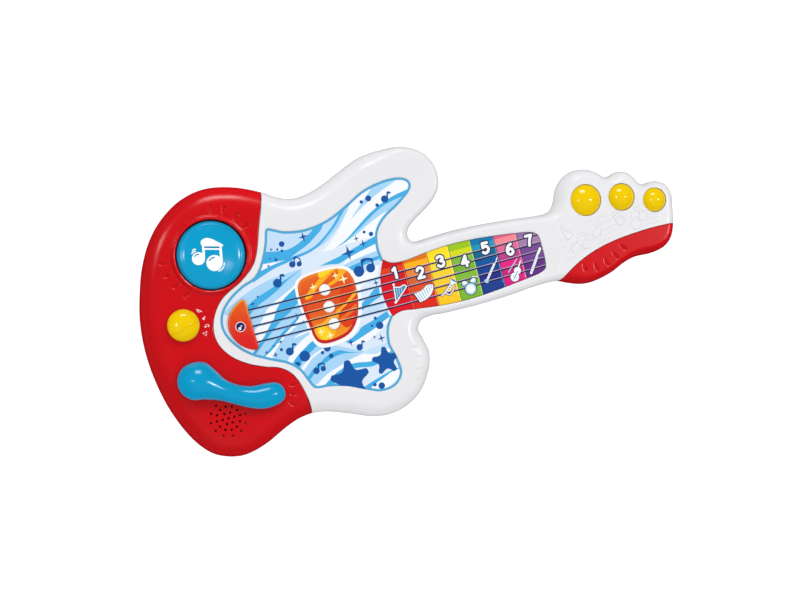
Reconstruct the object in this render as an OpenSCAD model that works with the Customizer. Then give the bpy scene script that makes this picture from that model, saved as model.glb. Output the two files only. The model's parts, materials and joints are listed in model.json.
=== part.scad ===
// Toy electric guitar: a hollow two-part plastic case with moving buttons, keys, a lever and a selector.
// Row frame in millimetres: the case lies on its back, +Z up through the face, +X along the neck to the head,
// +Y towards the upper horn. The origin is under the middle of the case, on the surface that it lies on.

/* [Case] */
// Height of the plane where the back shell meets the front shells
part_z = 20; // [18:1:22]
// Height of the white front face
face_z = 37.5; // [36:0.5:39]
// Height of the red body cover's flat face
cover_z = 38.5; // [38:0.5:40]
// Height of the neck's underside
neck_back_z = 8; // [6:1:10]
// Wall thickness of the moulded shells
wall = 2.5; // [2:0.25:3]
// Hairline left between the coloured covers and the white shell
seam_gap = 0.25; // [0.1:0.05:0.5]

/* [Printed sheets and plates] */
// Thickness of the printed body label
label_t = 0.4; // [0.2:0.1:0.6]
// Height of the pickup plate above its bed
pickup_t = 1.2; // [0.8:0.2:1.6]
// Height of the bridge plate above its bed
bridge_t = 3; // [2:0.5:4]
// Radius of the three round light windows
window_r = 5.4; // [4:0.2:6]

/* [Big button] */
// Radius of the big blue button
big_r = 31; // [28:0.5:32]
// Travel of the big button
big_travel = 3; // [2:0.5:4]
// Height of the big button's crown
big_top = 43; // [41:0.5:44]

/* [Lever] */
// Height of the lever's underside
lever_z = 39.5; // [39:0.5:41]
// Thickness of the lever
lever_t = 12; // [10:1:14]

/* [Selector] */
// Radius of the yellow selector knob
knob_r = 14.5; // [13:0.5:16]
// Height of the knob's dome above the cover
knob_h = 9; // [7:0.5:10]

/* [Head buttons] */
// Travel of the three head buttons
head_travel = 2; // [1:0.5:2.5]
// Height of the head buttons' domes above the face
head_dome_h = 7; // [5:0.5:9]

/* [Keys] */
// Travel of the seven neck keys
key_travel = 1; // [0.5:0.25:1.5]
// Gap around each key
key_gap = 0.4; // [0.3:0.05:0.5]

/* [Speaker] */
// Radius of the loudspeaker
speaker_r = 20; // [18:0.5:21]
// Radius of one sound hole
hole_r = 1.1; // [0.8:0.1:1.3]

/* [Battery] */
// Radius of an AA cell
cell_r = 7.1; // [7:0.05:7.2]
// Length of an AA cell
cell_l = 50; // [49.5:0.5:50.5]

/* [Hidden] */
$fn = 48;
CURVE_STEPS = 4;
WIRE_SIDES = 8;
eps = 0.01;
far = 400;

KEY_NODES = [for (i = [1:7]) str("key_", i)];
HEAD_NODES = [for (i = [1:3]) str("head_button_", i)];
CELL_NODES = [for (i = [1:3]) str("cell_", i)];
LED_NODES = [for (i = [1:3]) str("led_", i)];

RED = [0.80, 0.07, 0.10];
WHITE = [0.92, 0.92, 0.93];
BLUE = [0.00, 0.61, 0.80];
YELLOW = [0.93, 0.78, 0.02];
LABEL_BLUE = [0.66, 0.84, 0.97];
ORANGE = [0.93, 0.36, 0.06];
METAL = [0.75, 0.76, 0.78];
BOARD = [0.10, 0.42, 0.25];
RUBBER = [0.80, 0.80, 0.78];
DARK = [0.12, 0.12, 0.13];
KEY_COLOURS = [
    [0.86, 0.03, 0.10], [0.92, 0.34, 0.08], [0.98, 0.84, 0.10], [0.50, 0.73, 0.18],
    [0.02, 0.32, 0.66], [0.90, 0.22, 0.52], [0.44, 0.26, 0.56]
];

// Outline points run clockwise seen from the front. A third number marks a sharp corner.
BODY_OUTLINE = [
    [-122, 106.5], [-146, 117], [-171, 121.7], [-194, 117.5], [-214, 106], [-230, 90], [-243, 68],
    [-252, 43], [-258, 18], [-260, -10], [-257.5, -39], [-251, -67], [-239.5, -94], [-226, -111.5],
    [-211, -119.5], [-195, -121.8], [-175, -117], [-155, -108], [-141, -103], [-127, -101.5],
    [-114, -103.5], [-95, -110.5], [-77, -118], [-60, -121.5], [-43, -119], [-25, -109], [-12, -91],
    [-7.5, -75], [-10, -61], [-12, -51], [-4, -43.5], [20, -44], [50, -44.5], [82, -43.5], [109, -41.5],
    [129, -42], [141, -47], [153, -51], [164, -51.5], [182, -48], [197, -42], [210, -39], [227, -39.5],
    [240, -37], [249, -30], [255, -17], [258.5, -1], [260, 11], [257, 21], [250, 26], [243, 27],
    [236, 26.5], [231, 29], [226, 37], [220, 42.5], [212, 44], [204.5, 42], [199, 42.5], [191, 49.5],
    [182, 54], [170, 55], [159, 50.5], [151, 42], [146, 31], [140, 24], [129, 22.5], [100, 25.5],
    [70, 28], [40, 29], [15, 28], [3.5, 28], [-0.5, 33.5], [2, 41], [10, 47.5], [22, 54.5], [34, 64],
    [40.5, 76], [40, 93], [31, 107.5], [14, 116.5], [-4, 118], [-26, 116], [-47, 108], [-68, 99],
    [-87, 94], [-101, 95], [-112, 100]
];
BODY_SEAM = [
    [-117, 128, 0], [-124, 104], [-133, 79], [-145, 48], [-159, 34.5], [-183, 21], [-195, 4],
    [-197, -13], [-190, -28], [-177, -39.5], [-161, -47.5], [-147, -52.5], [-137, -62], [-131, -79],
    [-128.5, -99], [-127.5, -130, 0]
];
HEAD_SEAM = [
    [126, -47, 0], [133, -40], [142, -34], [155, -27.5], [171, -22], [185, -19], [200, -17],
    [226, -15.5], [248, -16], [266, -17, 0]
];
LABEL_OUTLINE = [
    [-127, 73], [-121, 70.5], [-112, 66.5], [-94, 64], [-73, 67], [-54, 75], [-34, 85], [-14, 89.5],
    [2, 89], [10.5, 84.5], [11, 77], [-3, 65.5], [-20, 55.5], [-29, 45], [-32, 32], [-31, 20, 0],
    [-37, 5], [-39, -10], [-38, -22], [-35, -33.5, 0], [-41, -43], [-43.5, -57], [-40, -72],
    [-39.5, -86], [-48, -95.5], [-62, -97.5], [-76, -92], [-92, -84.5], [-108, -80.5], [-121, -78.5],
    [-125.5, -71], [-131, -59], [-140, -50.5], [-155, -43], [-171, -33.5], [-183, -21], [-189.5, -6],
    [-187, 8], [-177, 19.5], [-163, 28], [-149, 33.5], [-140, 45], [-133, 60], [-129.5, 71]
];
KEY_FIELD = [
    [-31, 19.6, 0], [-24, 14.8], [-12, 13.5], [10, 15.8], [30, 17.3], [53, 17], [78, 14.8], [97, 12.3],
    [113, 9.3], [118.5, 5], [119.6, -4], [119.6, -18], [118, -26.5], [112, -29.8], [98, -31.8],
    [78, -34], [55, -36], [33, -36.6], [11, -35.3], [-12, -32.6], [-26, -31], [-35, -33.5, 0],
    [-38, -22], [-39, -10], [-37, 5]
];
PICKUP_OUTLINE = [
    [-112.1, 17.4], [-105.6, 21.4], [-92.6, 22.7], [-77.6, 22.4], [-67.1, 18.9], [-62.3, 10.4],
    [-61.6, -3.6], [-64.1, -17.6], [-69.1, -29.6], [-77.6, -38.1], [-90.6, -41.6], [-103.1, -41.1],
    [-109.1, -36.1], [-111.6, -23.6], [-113.6, -5.6], [-114.1, 9.4]
];
BRIDGE_OUTLINE = [
    [-165.7, 16.2], [-162.8, 14.2], [-162.5, 3.7, 0], [-161.8, -19.3, 0], [-161.6, -28.8],
    [-164.2, -30.9], [-174.2, -25.8], [-181.2, -16.8], [-183.8, -6.3], [-181.2, 4.2], [-174.2, 11.7]
];
// Dog-bone bent like an S: two round ends joined by a waist with hollow sides
LEVER_OUTLINE = [
    [-223.1, -27.2], [-212.1, -29.7], [-205.1, -38.2], [-198, -49.2], [-187.6, -57.2], [-176.1, -61.2],
    [-163.6, -62.2], [-153.2, -64.7], [-148.7, -72.2], [-151.2, -80.2], [-160.5, -83.9], [-173, -83.5],
    [-185.5, -78.7], [-197, -72.2], [-208.1, -66.2], [-221.1, -61.7], [-232.1, -58.7], [-239.1, -50.7],
    [-240.1, -40.7], [-234.1, -30.7]
];

key_edges = [-60, -13, 10.5, 31.7, 53.5, 76, 98, 140];
screw_spots_cover = [[-241, 34], [-237, -76], [-146, 101], [-159, -96]];
screw_spots_white = [[14, 101], [-36, -106], [-84, 80], [128, -10], [188, -8]];
case_screw_spots = concat(screw_spots_cover, screw_spots_white);
head_spots = [[171.8, 25.6], [206.8, 20], [238.2, 9.6]];
head_radii = [14.6, 12.6, 11.2];
light_spots = [[-90, 6], [-90, -10], [-89.5, -26]];
big_spot = [-182.2, 62];
knob_spot = [-222, 7.2];
lever_spot = [-223.2, -44.2];
speaker_spot = [-204, -84];
battery_spot = [-112, 1];
peg_spots = [[-172, 6], [-172, -20]];
led_bar_spot = [-90, -10];
main_board_spot = [-112, -66];
chip_spot = [-120, -66];
key_row_spot = [41, -10];
ribbon_turn = [-67.4, -14];

// Steps of the rounded rims: inset and top height of each layer, outer then hollow
front_steps = [[0, 30], [1, 33], [2.5, 35.5], [4.5, face_z]];
front_hollow = [[wall, 28], [3.5, 31], [5, 33.5], [7, 34.5]];
cover_steps = [[0, 28], [2, 32], [5.5, 35.5], [10.5, cover_z]];
cover_hollow = [[wall, 25.5], [5, 29.5], [8.5, 33], [13.5, 36]];
back_steps = [[9, 0, 3], [5, 3, 6], [2, 6, 12], [0, 12, part_z]];
back_hollow = [[11.5, wall, 5.5], [7.5, 5.5, 8.5], [4.5, 8.5, 14.5], [wall, 14.5, part_z]];
neck_steps = [[5, 0, 2], [2, 2, 5], [0, 5, 12]];
neck_hollow = [[7.5, wall, 4.5], [4.5, 4.5, 7.5], [wall, 7.5, 12]];

bed_z = face_z - label_t - 0.2;
under_face_z = 34.5;
under_cover_z = 36;
key_top_z = face_z - 0.3;
key_pocket_z = 31;
sleeve_z = 31.2;
flange_gap = 0.2;
board_t = 1.6;
post_r = 5;
head_recess_r = 3.2;
peg_r = 1.2;
foot_r = 2;
screw_head_r = 2.8;
screw_head_t = 2;
screw_r = 1.45;
screw_hole_r = 1.7;
screw_seat_z = 12;
screw_tip_z = 29;
well_floor_z = 24;
well_gap = 1.1;
big_screw_z = well_floor_z - 3.4;
stem_r = 6;
spring_r = 11;
running_gap = 0.08;
lever_shaft_r = 5;
knob_shaft_r = 3;
tray = [56, 54];
door = [62, 58];
door_screw_spot = [battery_spot[0] + door[0] / 2 + 2, battery_spot[1]];
door_t = 1.4;
neck_split_x = 6;
drum_board_z = 8;
lever_board_z = 12;
lever_washer_z = 27.3;
knob_board_z = 22;
led_board_z = 27;
led_dome_z = 30.4;
led_r = 2.5;
main_board_z = 12;
on_board_z = main_board_z + board_t;
pad_t = 0.8;
lead_r = 0.7;
ribbon_t = 0.8;
ribbon_z = 20.2;
cell_pitch = 16;
cell_nub = 1.5;
key_board_z = 24;
head_board_z = 22;
head_plunger_z = 28;
key_plunger_z = 30;

// ---------------------------------------------------------------- curves

function flat(p) = [p[0], p[1]];
function heading(a, b) = (b - a) / norm(b - a);
function mix(a, b, t) = a + (b - a) * t;
function bezier(a, b, c, d, t) =
    let (ab = mix(a, b, t), bc = mix(b, c, t), cd = mix(c, d, t))
    mix(mix(ab, bc, t), mix(bc, cd, t), t);

// One stretch of a smooth closed curve, from point i to the next point
function stretch(points, i) =
    let (
        n = len(points),
        before = flat(points[(i + n - 1) % n]),
        a = flat(points[i]),
        b = flat(points[(i + 1) % n]),
        after = flat(points[(i + 2) % n]),
        handle = norm(b - a) / 3,
        leaving = len(points[i]) > 2 ? heading(a, b) : heading(before, b),
        arriving = len(points[(i + 1) % n]) > 2 ? heading(a, b) : heading(a, after)
    )
    [for (k = [0:CURVE_STEPS - 1])
        bezier(a, a + leaving * handle, b - arriving * handle, b, k / CURVE_STEPS)];

function curve(points) = [for (i = [0:len(points) - 1]) each stretch(points, i)];

module shape(points) {
    polygon(curve(points));
}

module slab(z0, z1) {
    translate([0, 0, z0])
        linear_extrude(z1 - z0)
            children();
}

module at(spot, z = 0) {
    translate([spot[0], spot[1], z])
        children();
}

module disc(spot, r, z0, z1) {
    at(spot, z0)
        cylinder(r = r, h = z1 - z0);
}

module tube(spot, r_out, r_in, z0, z1) {
    difference() {
        disc(spot, r_out, z0, z1);
        disc(spot, r_in, z0 - 1, z1 + 1);
    }
}

module block(spot, size, z0, z1) {
    translate([spot[0] - size[0] / 2, spot[1] - size[1] / 2, z0])
        cube([size[0], size[1], z1 - z0]);
}

// A low dome with a straight side: radius r, side from z0 to z1, then a crown to z2
module domed(spot, r, z0, z1, z2) {
    rise = z2 - z1;
    ball = (r * r + rise * rise) / (2 * rise);
    at(spot)
        rotate_extrude()
            union() {
                translate([0, z0])
                    square([r, z1 - z0]);
                intersection() {
                    translate([0, z2 - ball])
                        circle(r = ball, $fn = 120);
                    translate([0, z1 - eps])
                        square([r, rise + 1]);
                }
            }
}

// Ring of corner points around a wire at one point of its route
function wire_ring(points, i, r) =
    let (
        last = len(points) - 1,
        along = heading(points[max(i - 1, 0)], points[min(i + 1, last)]),
        side = cross(along, [0, 0, 1]) / norm(cross(along, [0, 0, 1])),
        up = cross(side, along)
    )
    [for (k = [0:WIRE_SIDES - 1])
        points[i] + r * (cos(k * 360 / WIRE_SIDES) * side + sin(k * 360 / WIRE_SIDES) * up)];

// A wire along a list of points, none of them straight above another
module wire(points, r) {
    last = len(points) - 1;
    n = WIRE_SIDES;
    polyhedron(
        points = [for (i = [0:last]) each wire_ring(points, i, r)],
        faces = concat(
            [[for (k = [0:n - 1]) k]],
            [for (i = [0:last - 1], k = [0:n - 1])
                [i * n + (k + 1) % n, i * n + k, (i + 1) * n + k, (i + 1) * n + (k + 1) % n]],
            [[for (k = [n - 1:-1:0]) last * n + k]]
        )
    );
}

// ---------------------------------------------------------------- regions of the face

module case_inset(d) {
    offset(delta = -d)
        shape(BODY_OUTLINE);
}

module red_body_region(grow = 0) {
    top = BODY_SEAM[0];
    bottom = BODY_SEAM[len(BODY_SEAM) - 1];
    offset(delta = grow)
        polygon(concat([[-far, -far], [-far, far], [top[0], far]],
                       [for (i = [0:len(BODY_SEAM) - 2]) each stretch(BODY_SEAM, i)],
                       [flat(bottom), [bottom[0], -far]]));
}

module red_head_region(grow = 0) {
    left = HEAD_SEAM[0];
    right = HEAD_SEAM[len(HEAD_SEAM) - 1];
    offset(delta = grow)
        polygon(concat([for (i = [0:len(HEAD_SEAM) - 2]) each stretch(HEAD_SEAM, i)],
                       [flat(right), [far, right[1]], [far, -far], [left[0], -far]]));
}

module neck_region(shift = 0) {
    translate([neck_split_x + shift, -70])
        square([far, 101]);
    translate([120, -90])
        square([far, 180]);
}

module key_outline(i, shrink) {
    intersection() {
        offset(delta = -shrink)
            shape(KEY_FIELD);
        translate([key_edges[i - 1] + key_gap / 2, -60])
            square([key_edges[i] - key_edges[i - 1] - key_gap, 100]);
    }
}

// ---------------------------------------------------------------- case

module front_layers(steps, z0) {
    for (i = [0:len(steps) - 1])
        slab(i == 0 ? z0 : steps[i - 1][1] - eps, steps[i][1])
            case_inset(steps[i][0]);
}

module front_posts(spots, top) {
    for (s = spots)
        tube(s, post_r, screw_r + 0.05, part_z, top);
}

module back_layers(steps, z_shift) {
    for (s = steps)
        slab(s[1] + z_shift - (s[1] > 0 ? eps : 0), s[2] + z_shift)
            case_inset(s[0]);
}

module screw_way(s, back_z) {
    disc(s, head_recess_r, back_z - 1, screw_seat_z);
    disc(s, screw_hole_r, screw_seat_z - 1, part_z + 1);
}

module back_shell() {
    color(WHITE)
        difference() {
            union() {
                difference() {
                    union() {
                        difference() {
                            back_layers(back_steps, 0);
                            slab(-1, part_z + 1)
                                neck_region();
                        }
                        intersection() {
                            back_layers(neck_steps, neck_back_z);
                            slab(-1, part_z + 1)
                                neck_region();
                        }
                    }
                    difference() {
                        back_layers(back_hollow, 0);
                        slab(-1, part_z + 1)
                            neck_region(-wall);
                    }
                    intersection() {
                        back_layers(neck_hollow, neck_back_z);
                        slab(-1, part_z + 1)
                            neck_region();
                    }
                    block([neck_split_x, -8], [12, 20], 15, part_z + 1);
                    slab(part_z - eps, part_z + 1)
                        case_inset(-1);
                }
                intersection() {
                    union() {
                        for (s = case_screw_spots)
                            disc(s, post_r, 0, part_z);
                        disc(door_screw_spot, 4.5, 1, 12);
                    }
                    union() {
                        back_layers([[9, 0, 3], [0, 3, part_z]], 0);
                    }
                    difference() {
                        slab(0, part_z)
                            case_inset(0.5);
                        slab(-1, neck_back_z)
                            neck_region();
                    }
                }
            }
            for (s = case_screw_spots)
                screw_way(s, 0);
            block(battery_spot, door + [0.6, 0.6], -1, 1.6);
            disc(door_screw_spot, 5.8, -1, 1.6);
            disc(door_screw_spot, 1.2, 0, 10);
            block(battery_spot, tray - [2, 2], -1, wall + 1);
        }
}

module front_shell() {
    color(WHITE)
        difference() {
            union() {
                difference() {
                    front_layers(front_steps, part_z);
                    front_layers(front_hollow, part_z - 1);
                }
                front_posts(screw_spots_white, under_face_z + 0.5);
                intersection() {
                    for (i = [0:2])
                        disc(head_spots[i], head_radii[i] + 2.4, sleeve_z, under_face_z + 1);
                    front_layers(front_steps, part_z);
                }
            }
            for (i = [0:2])
                disc(head_spots[i], head_radii[i] + 1.8, part_z - 1, sleeve_z);
            slab(key_pocket_z, under_face_z)
                offset(delta = 2.2)
                    shape(KEY_FIELD);
            slab(part_z - 2, 60)
                red_body_region();
            slab(part_z - 2, 60)
                red_head_region();
            slab(under_face_z - 1, face_z + 1)
                shape(KEY_FIELD);
            slab(bed_z, face_z + 1)
                offset(delta = 0.2)
                    shape(LABEL_OUTLINE);
            for (s = light_spots)
                disc(s, window_r + 0.2, part_z, face_z);
            for (i = [0:2])
                disc(head_spots[i], head_radii[i] + 0.4, part_z, face_z + 1);
            for (s = peg_spots)
                disc(s, peg_r + 0.1, part_z, face_z);
        }
}

module sound_holes() {
    disc(speaker_spot, hole_r, part_z, cover_z + 1);
    for (ring = [[6, 5.3], [12, 10.7], [12, 16.2]])
        for (k = [0:ring[0] - 1])
            at(speaker_spot)
                rotate([0, 0, k * 360 / ring[0]])
                    disc([ring[1], 0], hole_r, part_z, cover_z + 1);
}

module body_cover() {
    color(RED)
        difference() {
            union() {
                difference() {
                    intersection() {
                        front_layers(cover_steps, part_z);
                        slab(part_z - 1, 60)
                            red_body_region(-seam_gap);
                    }
                    front_layers(cover_hollow, part_z - 1);
                }
                front_posts(screw_spots_cover, under_cover_z + 0.5);
                tube(big_spot, big_r + well_gap + 2, big_r + well_gap, well_floor_z, under_cover_z + 1);
                tube(big_spot, big_r + 4.2, big_r + well_gap, cover_z - 1, cover_z + 1.2);
                disc(big_spot, big_r + well_gap + 1, well_floor_z, well_floor_z + 2);
                disc(lever_spot, lever_shaft_r + 3, 31, under_cover_z + 1);
            }
            disc(big_spot, big_r + well_gap, well_floor_z + 2, cover_z + 5);
            disc(big_spot, stem_r + running_gap, well_floor_z - 1, well_floor_z + 3);
            disc(lever_spot, lever_shaft_r + running_gap, 30, cover_z + 1);
            disc(knob_spot, knob_shaft_r + running_gap, 30, cover_z + 1);
            sound_holes();
        }
}

module head_cover() {
    color(RED)
        difference() {
            intersection() {
                front_layers(front_steps, part_z);
                slab(part_z - 1, 60)
                    red_head_region(-seam_gap);
            }
            front_layers(front_hollow, part_z - 1);
        }
}

module case_screws() {
    color(METAL)
        for (s = case_screw_spots) {
            disc(s, screw_head_r, screw_seat_z - screw_head_t, screw_seat_z);
            disc(s, screw_r, screw_seat_z - eps, screw_tip_z);
        }
}

// ---------------------------------------------------------------- printed plates and lights

module window_holes() {
    for (s = light_spots)
        disc(s, window_r + 0.2, part_z, face_z + 5);
}

module body_label() {
    color(LABEL_BLUE)
        difference() {
            slab(bed_z, bed_z + label_t)
                offset(delta = -0.2)
                    shape(LABEL_OUTLINE);
            window_holes();
            for (s = peg_spots)
                disc(s, peg_r + 0.1, bed_z - 1, bed_z + 1);
        }
}

module bridge_plate() {
    color(ORANGE) {
        slab(bed_z + label_t, bed_z + label_t + bridge_t)
            shape(BRIDGE_OUTLINE);
        for (s = peg_spots)
            disc(s, peg_r, under_face_z - 2, bed_z + 1);
    }
}

module pickup_plate() {
    color(ORANGE)
        difference() {
            slab(bed_z + label_t, bed_z + label_t + pickup_t)
                shape(PICKUP_OUTLINE);
            window_holes();
        }
}

module light_window() {
    color([1, 1, 1]) {
        block(led_bar_spot, [18, 46], under_face_z - 1.1, under_face_z);
        for (s = light_spots)
            disc(s, window_r, under_face_z - 1, bed_z + label_t + pickup_t - 0.2);
    }
}

module led_board() {
    color(BOARD)
        block(led_bar_spot, [14, 48], led_board_z, led_board_z + board_t);
    color(WHITE)
        for (sy = [-1, 1])
            disc(led_bar_spot + [0, sy * 22], 1.4, led_board_z + board_t - eps, under_face_z - 1.1);
}

module led(i) {
    color([1, 0.95, 0.8]) {
        disc(light_spots[i - 1], led_r, led_board_z + board_t, led_dome_z);
        at(light_spots[i - 1], led_dome_z)
            difference() {
                sphere(r = led_r - eps);
                translate([0, 0, -5])
                    cube([10, 10, 9.9], center = true);
            }
    }
}

// ---------------------------------------------------------------- big button

module big_button() {
    color(BLUE)
        difference() {
            union() {
                domed(big_spot, big_r, well_floor_z + 6, cover_z + 1.5, big_top);
                disc(big_spot, stem_r, well_floor_z - 0.2, well_floor_z + 7);
            }
            tube(big_spot, big_r - 2.5, stem_r + 2.5, well_floor_z + 5, cover_z - 0.5);
            disc(big_spot, screw_r, well_floor_z - 1, well_floor_z + 7);
        }
}

module big_button_screw() {
    color(METAL) {
        disc(big_spot, stem_r + 3.5, well_floor_z - 1.4, well_floor_z - 0.2);
        disc(big_spot, screw_head_r, big_screw_z, well_floor_z - 1.4);
        disc(big_spot, screw_r, well_floor_z - 1.5, well_floor_z + 6.5);
    }
}

module big_button_spring() {
    color(METAL)
        tube(big_spot, spring_r, spring_r - 1.4, well_floor_z + 2.1, cover_z - 0.6);
}

module drum_switch() {
    color(BOARD)
        block(big_spot, [24, 20], drum_board_z, drum_board_z + board_t);
    color(DARK) {
        block(big_spot, [12, 12], drum_board_z + board_t - eps, 13.4);
        disc(big_spot, 3, 13.4 - eps, big_screw_z - big_travel - 0.2);
        for (sx = [-1, 1])
            disc(big_spot + [sx * 9, 0], foot_r, wall - eps, drum_board_z);
    }
}

// ---------------------------------------------------------------- lever

module lever() {
    color(BLUE) {
        slab(lever_z, lever_z + 3)
            offset(delta = -1)
                shape(LEVER_OUTLINE);
        slab(lever_z + 3 - eps, lever_z + 7)
            shape(LEVER_OUTLINE);
        slab(lever_z + 7 - eps, lever_z + 10)
            offset(delta = -2.5)
                shape(LEVER_OUTLINE);
        slab(lever_z + 10 - eps, lever_z + lever_t)
            offset(delta = -6)
                shape(LEVER_OUTLINE);
        difference() {
            disc(lever_spot, lever_shaft_r, lever_washer_z + 1.2, lever_z + 1);
            disc(lever_spot, screw_r, lever_washer_z, 38);
        }
    }
}

module lever_screw() {
    color(METAL) {
        disc(lever_spot, lever_shaft_r + 2.5, lever_washer_z, lever_washer_z + 1.2);
        disc(lever_spot, screw_head_r, lever_washer_z - screw_head_t, lever_washer_z);
        disc(lever_spot, screw_r, lever_washer_z - 0.1, 37.5);
    }
}

module lever_spring() {
    color(METAL)
        tube(lever_spot, lever_shaft_r + 3, lever_shaft_r + 1, 29, 30.9);
}

module lever_switch() {
    color(BOARD)
        block(lever_spot, [26, 20], lever_board_z, lever_board_z + board_t);
    color(DARK) {
        block(lever_spot, [13, 13], lever_board_z + board_t - eps, 21);
        tube(lever_spot, 4.5, 3.2, 21 - eps, 25);
        for (sx = [-1, 1])
            disc(lever_spot + [sx * 10, 0], foot_r, wall - eps, lever_board_z);
    }
}

// ---------------------------------------------------------------- selector

module selector_knob() {
    pointer_angle = 28;
    color(YELLOW) {
        difference() {
            domed(knob_spot, knob_r, cover_z + 0.4, cover_z + 3.5, cover_z + 0.4 + knob_h);
            at(knob_spot)
                rotate([0, 0, pointer_angle])
                    translate([0, -0.8, cover_z + knob_h - 1.4])
                        cube([knob_r + 1, 1.6, 4]);
        }
        disc(knob_spot, knob_shaft_r, 27, cover_z + 1);
    }
}

module selector_switch() {
    color(BOARD)
        block(knob_spot, [26, 20], knob_board_z, knob_board_z + board_t);
    color(DARK) {
        difference() {
            block(knob_spot, [15, 15], knob_board_z + board_t - eps, 33);
            disc(knob_spot, knob_shaft_r + running_gap, 26.8, 34);
        }
        for (sx = [-1, 1])
            disc(knob_spot + [sx * 10, 0], foot_r, wall - eps, knob_board_z);
    }
}

// ---------------------------------------------------------------- head buttons

module head_button(i) {
    s = head_spots[i - 1];
    r = head_radii[i - 1];
    flange_top = sleeve_z - flange_gap;
    color(YELLOW) {
        domed(s, r, flange_top - 1.5, face_z + 0.4, face_z + head_dome_h);
        disc(s, r + 1.3, flange_top - 1.5, flange_top);
        disc(s, 3.5, head_plunger_z, flange_top - 1);
    }
}

// A rounded strip under the three head buttons
module head_strip(r) {
    hull()
        for (s = head_spots)
            translate(s)
                circle(r = r);
}

module head_pad() {
    color(RUBBER) {
        slab(head_board_z + board_t, head_board_z + board_t + pad_t)
            head_strip(8);
        for (s = head_spots)
            domed(s, 5, head_board_z + board_t, 24.6, head_plunger_z - head_travel - 0.2);
    }
}

module head_board() {
    color(BOARD)
        slab(head_board_z, head_board_z + board_t)
            head_strip(10);
    color(WHITE)
        for (s = [[178, 24], [232, 14]])
            disc(s, 2.5, neck_back_z + wall - eps, head_board_z);
}

// ---------------------------------------------------------------- neck keys

module key(i) {
    flange_top = under_face_z - flange_gap;
    color(KEY_COLOURS[i - 1]) {
        slab(flange_top - 1.5, key_top_z)
            key_outline(i, key_gap);
        slab(flange_top - 1.5, flange_top)
            key_outline(i, -1.6);
        disc(key_middle(i), 3, key_plunger_z, flange_top - 1);
    }
}

function key_middle(i) = [(max(key_edges[i - 1], -36) + min(key_edges[i], 119)) / 2, -10];

module key_pad() {
    color(RUBBER) {
        block(key_row_spot, [156, 14], key_board_z + board_t, key_board_z + board_t + pad_t);
        for (i = [1:7])
            domed(key_middle(i), 4.5, key_board_z + board_t, 27, key_plunger_z - key_travel - 0.2);
    }
}

module neck_board() {
    color(BOARD)
        block(key_row_spot, [158, 20], key_board_z, key_board_z + board_t);
    color(WHITE)
        for (x = [20, 60, 100])
            for (y = [-17, -3])
                disc([x, y], 2.2, neck_back_z + wall - eps, key_board_z);
}

// ---------------------------------------------------------------- loudspeaker and electronics

module speaker_frame() {
    color(METAL)
        at(speaker_spot)
            rotate_extrude()
                polygon([[speaker_r - 3, under_cover_z - 1.2], [speaker_r, under_cover_z - 1.2],
                         [speaker_r, under_cover_z], [speaker_r - 3, under_cover_z],
                         [speaker_r - 3.4, under_cover_z - 0.4], [10.2, 26.4], [6, 26.4], [6, 25.6],
                         [10.8, 25.6], [speaker_r - 2.6, under_cover_z - 2]]);
}

module speaker_cone() {
    color(DARK)
        at(speaker_spot)
            rotate_extrude()
                polygon([[0, 30], [4, 29.4], [5.6, 28.2], [speaker_r - 4.3, under_cover_z - 1.4],
                         [speaker_r - 4.7, under_cover_z - 0.8], [6, 29.4], [4.2, 30.6], [0, 31.4]]);
}

module speaker_magnet() {
    color(METAL)
        disc(speaker_spot, 11, 20, 25.6);
    color(METAL)
        disc(speaker_spot, 5.5, 25.6 - eps, 27.8);
}

module main_board() {
    color(BOARD)
        block(main_board_spot, [70, 46], main_board_z, main_board_z + board_t);
    color(WHITE)
        for (sx = [-1, 1])
            for (sy = [-1, 1])
                disc(main_board_spot + [sx * 30, sy * 18], 2.5, wall - eps, main_board_z);
}

module sound_chip() {
    color(DARK)
        domed(chip_spot, 7, on_board_z, on_board_z + 0.5, on_board_z + 2.5);
}

module battery_tray() {
    color(WHITE)
        difference() {
            block(battery_spot, tray, wall, part_z);
            block(battery_spot, tray - [3.2, 3.2], wall - 1, part_z - 1.6);
        }
}

module cell(i) {
    y = battery_spot[1] + (i - 2) * cell_pitch;
    way = i == 2 ? -1 : 1;
    color([0.20, 0.25, 0.30])
        translate([battery_spot[0], y, 10.4])
            rotate([0, 90 * way, 0])
                union() {
                    translate([0, 0, -cell_l / 2])
                        cylinder(r = cell_r, h = cell_l - cell_nub);
                    translate([0, 0, cell_l / 2 - cell_nub - eps])
                        cylinder(r = 2.7, h = cell_nub + eps);
                }
}

module battery_contacts() {
    color(METAL)
        for (sx = [-1, 1])
            for (i = [-1:1])
                block(battery_spot + [sx * (tray[0] / 2 - 2.1), i * cell_pitch], [0.8, 10], 5, 15.8);
}

module battery_door() {
    color(WHITE)
        difference() {
            union() {
                block(battery_spot, door, 0, door_t);
                disc(door_screw_spot, 5.5, 0, door_t);
            }
            disc(door_screw_spot, 1.5, -1, door_t + 1);
        }
}

module battery_door_screw() {
    color(METAL) {
        disc(door_screw_spot, 1.15, 0.2, 8);
        disc(door_screw_spot, 1.45, 0.2, door_t);
    }
}

module battery_leads() {
    color([0.75, 0.10, 0.10])
        wire([[-141, -18, 12], [-147, -30, 12], [-143, -41, 15], [-138, -46, 14.4]], lead_r);
    color(DARK)
        wire([[-141, -14, 9], [-149, -30, 9], [-147, -42, 15], [-142, -52, 14.4]], lead_r);
}

module speaker_leads() {
    color([0.75, 0.10, 0.10])
        wire([[-192, -82, 22], [-176, -74, 19], [-160, -72, 17], [-145, -70, 14.4]], lead_r);
    color(DARK)
        wire([[-192, -87, 22], [-176, -80, 19], [-160, -78, 17], [-145, -75, 14.4]], lead_r);
}

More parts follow.
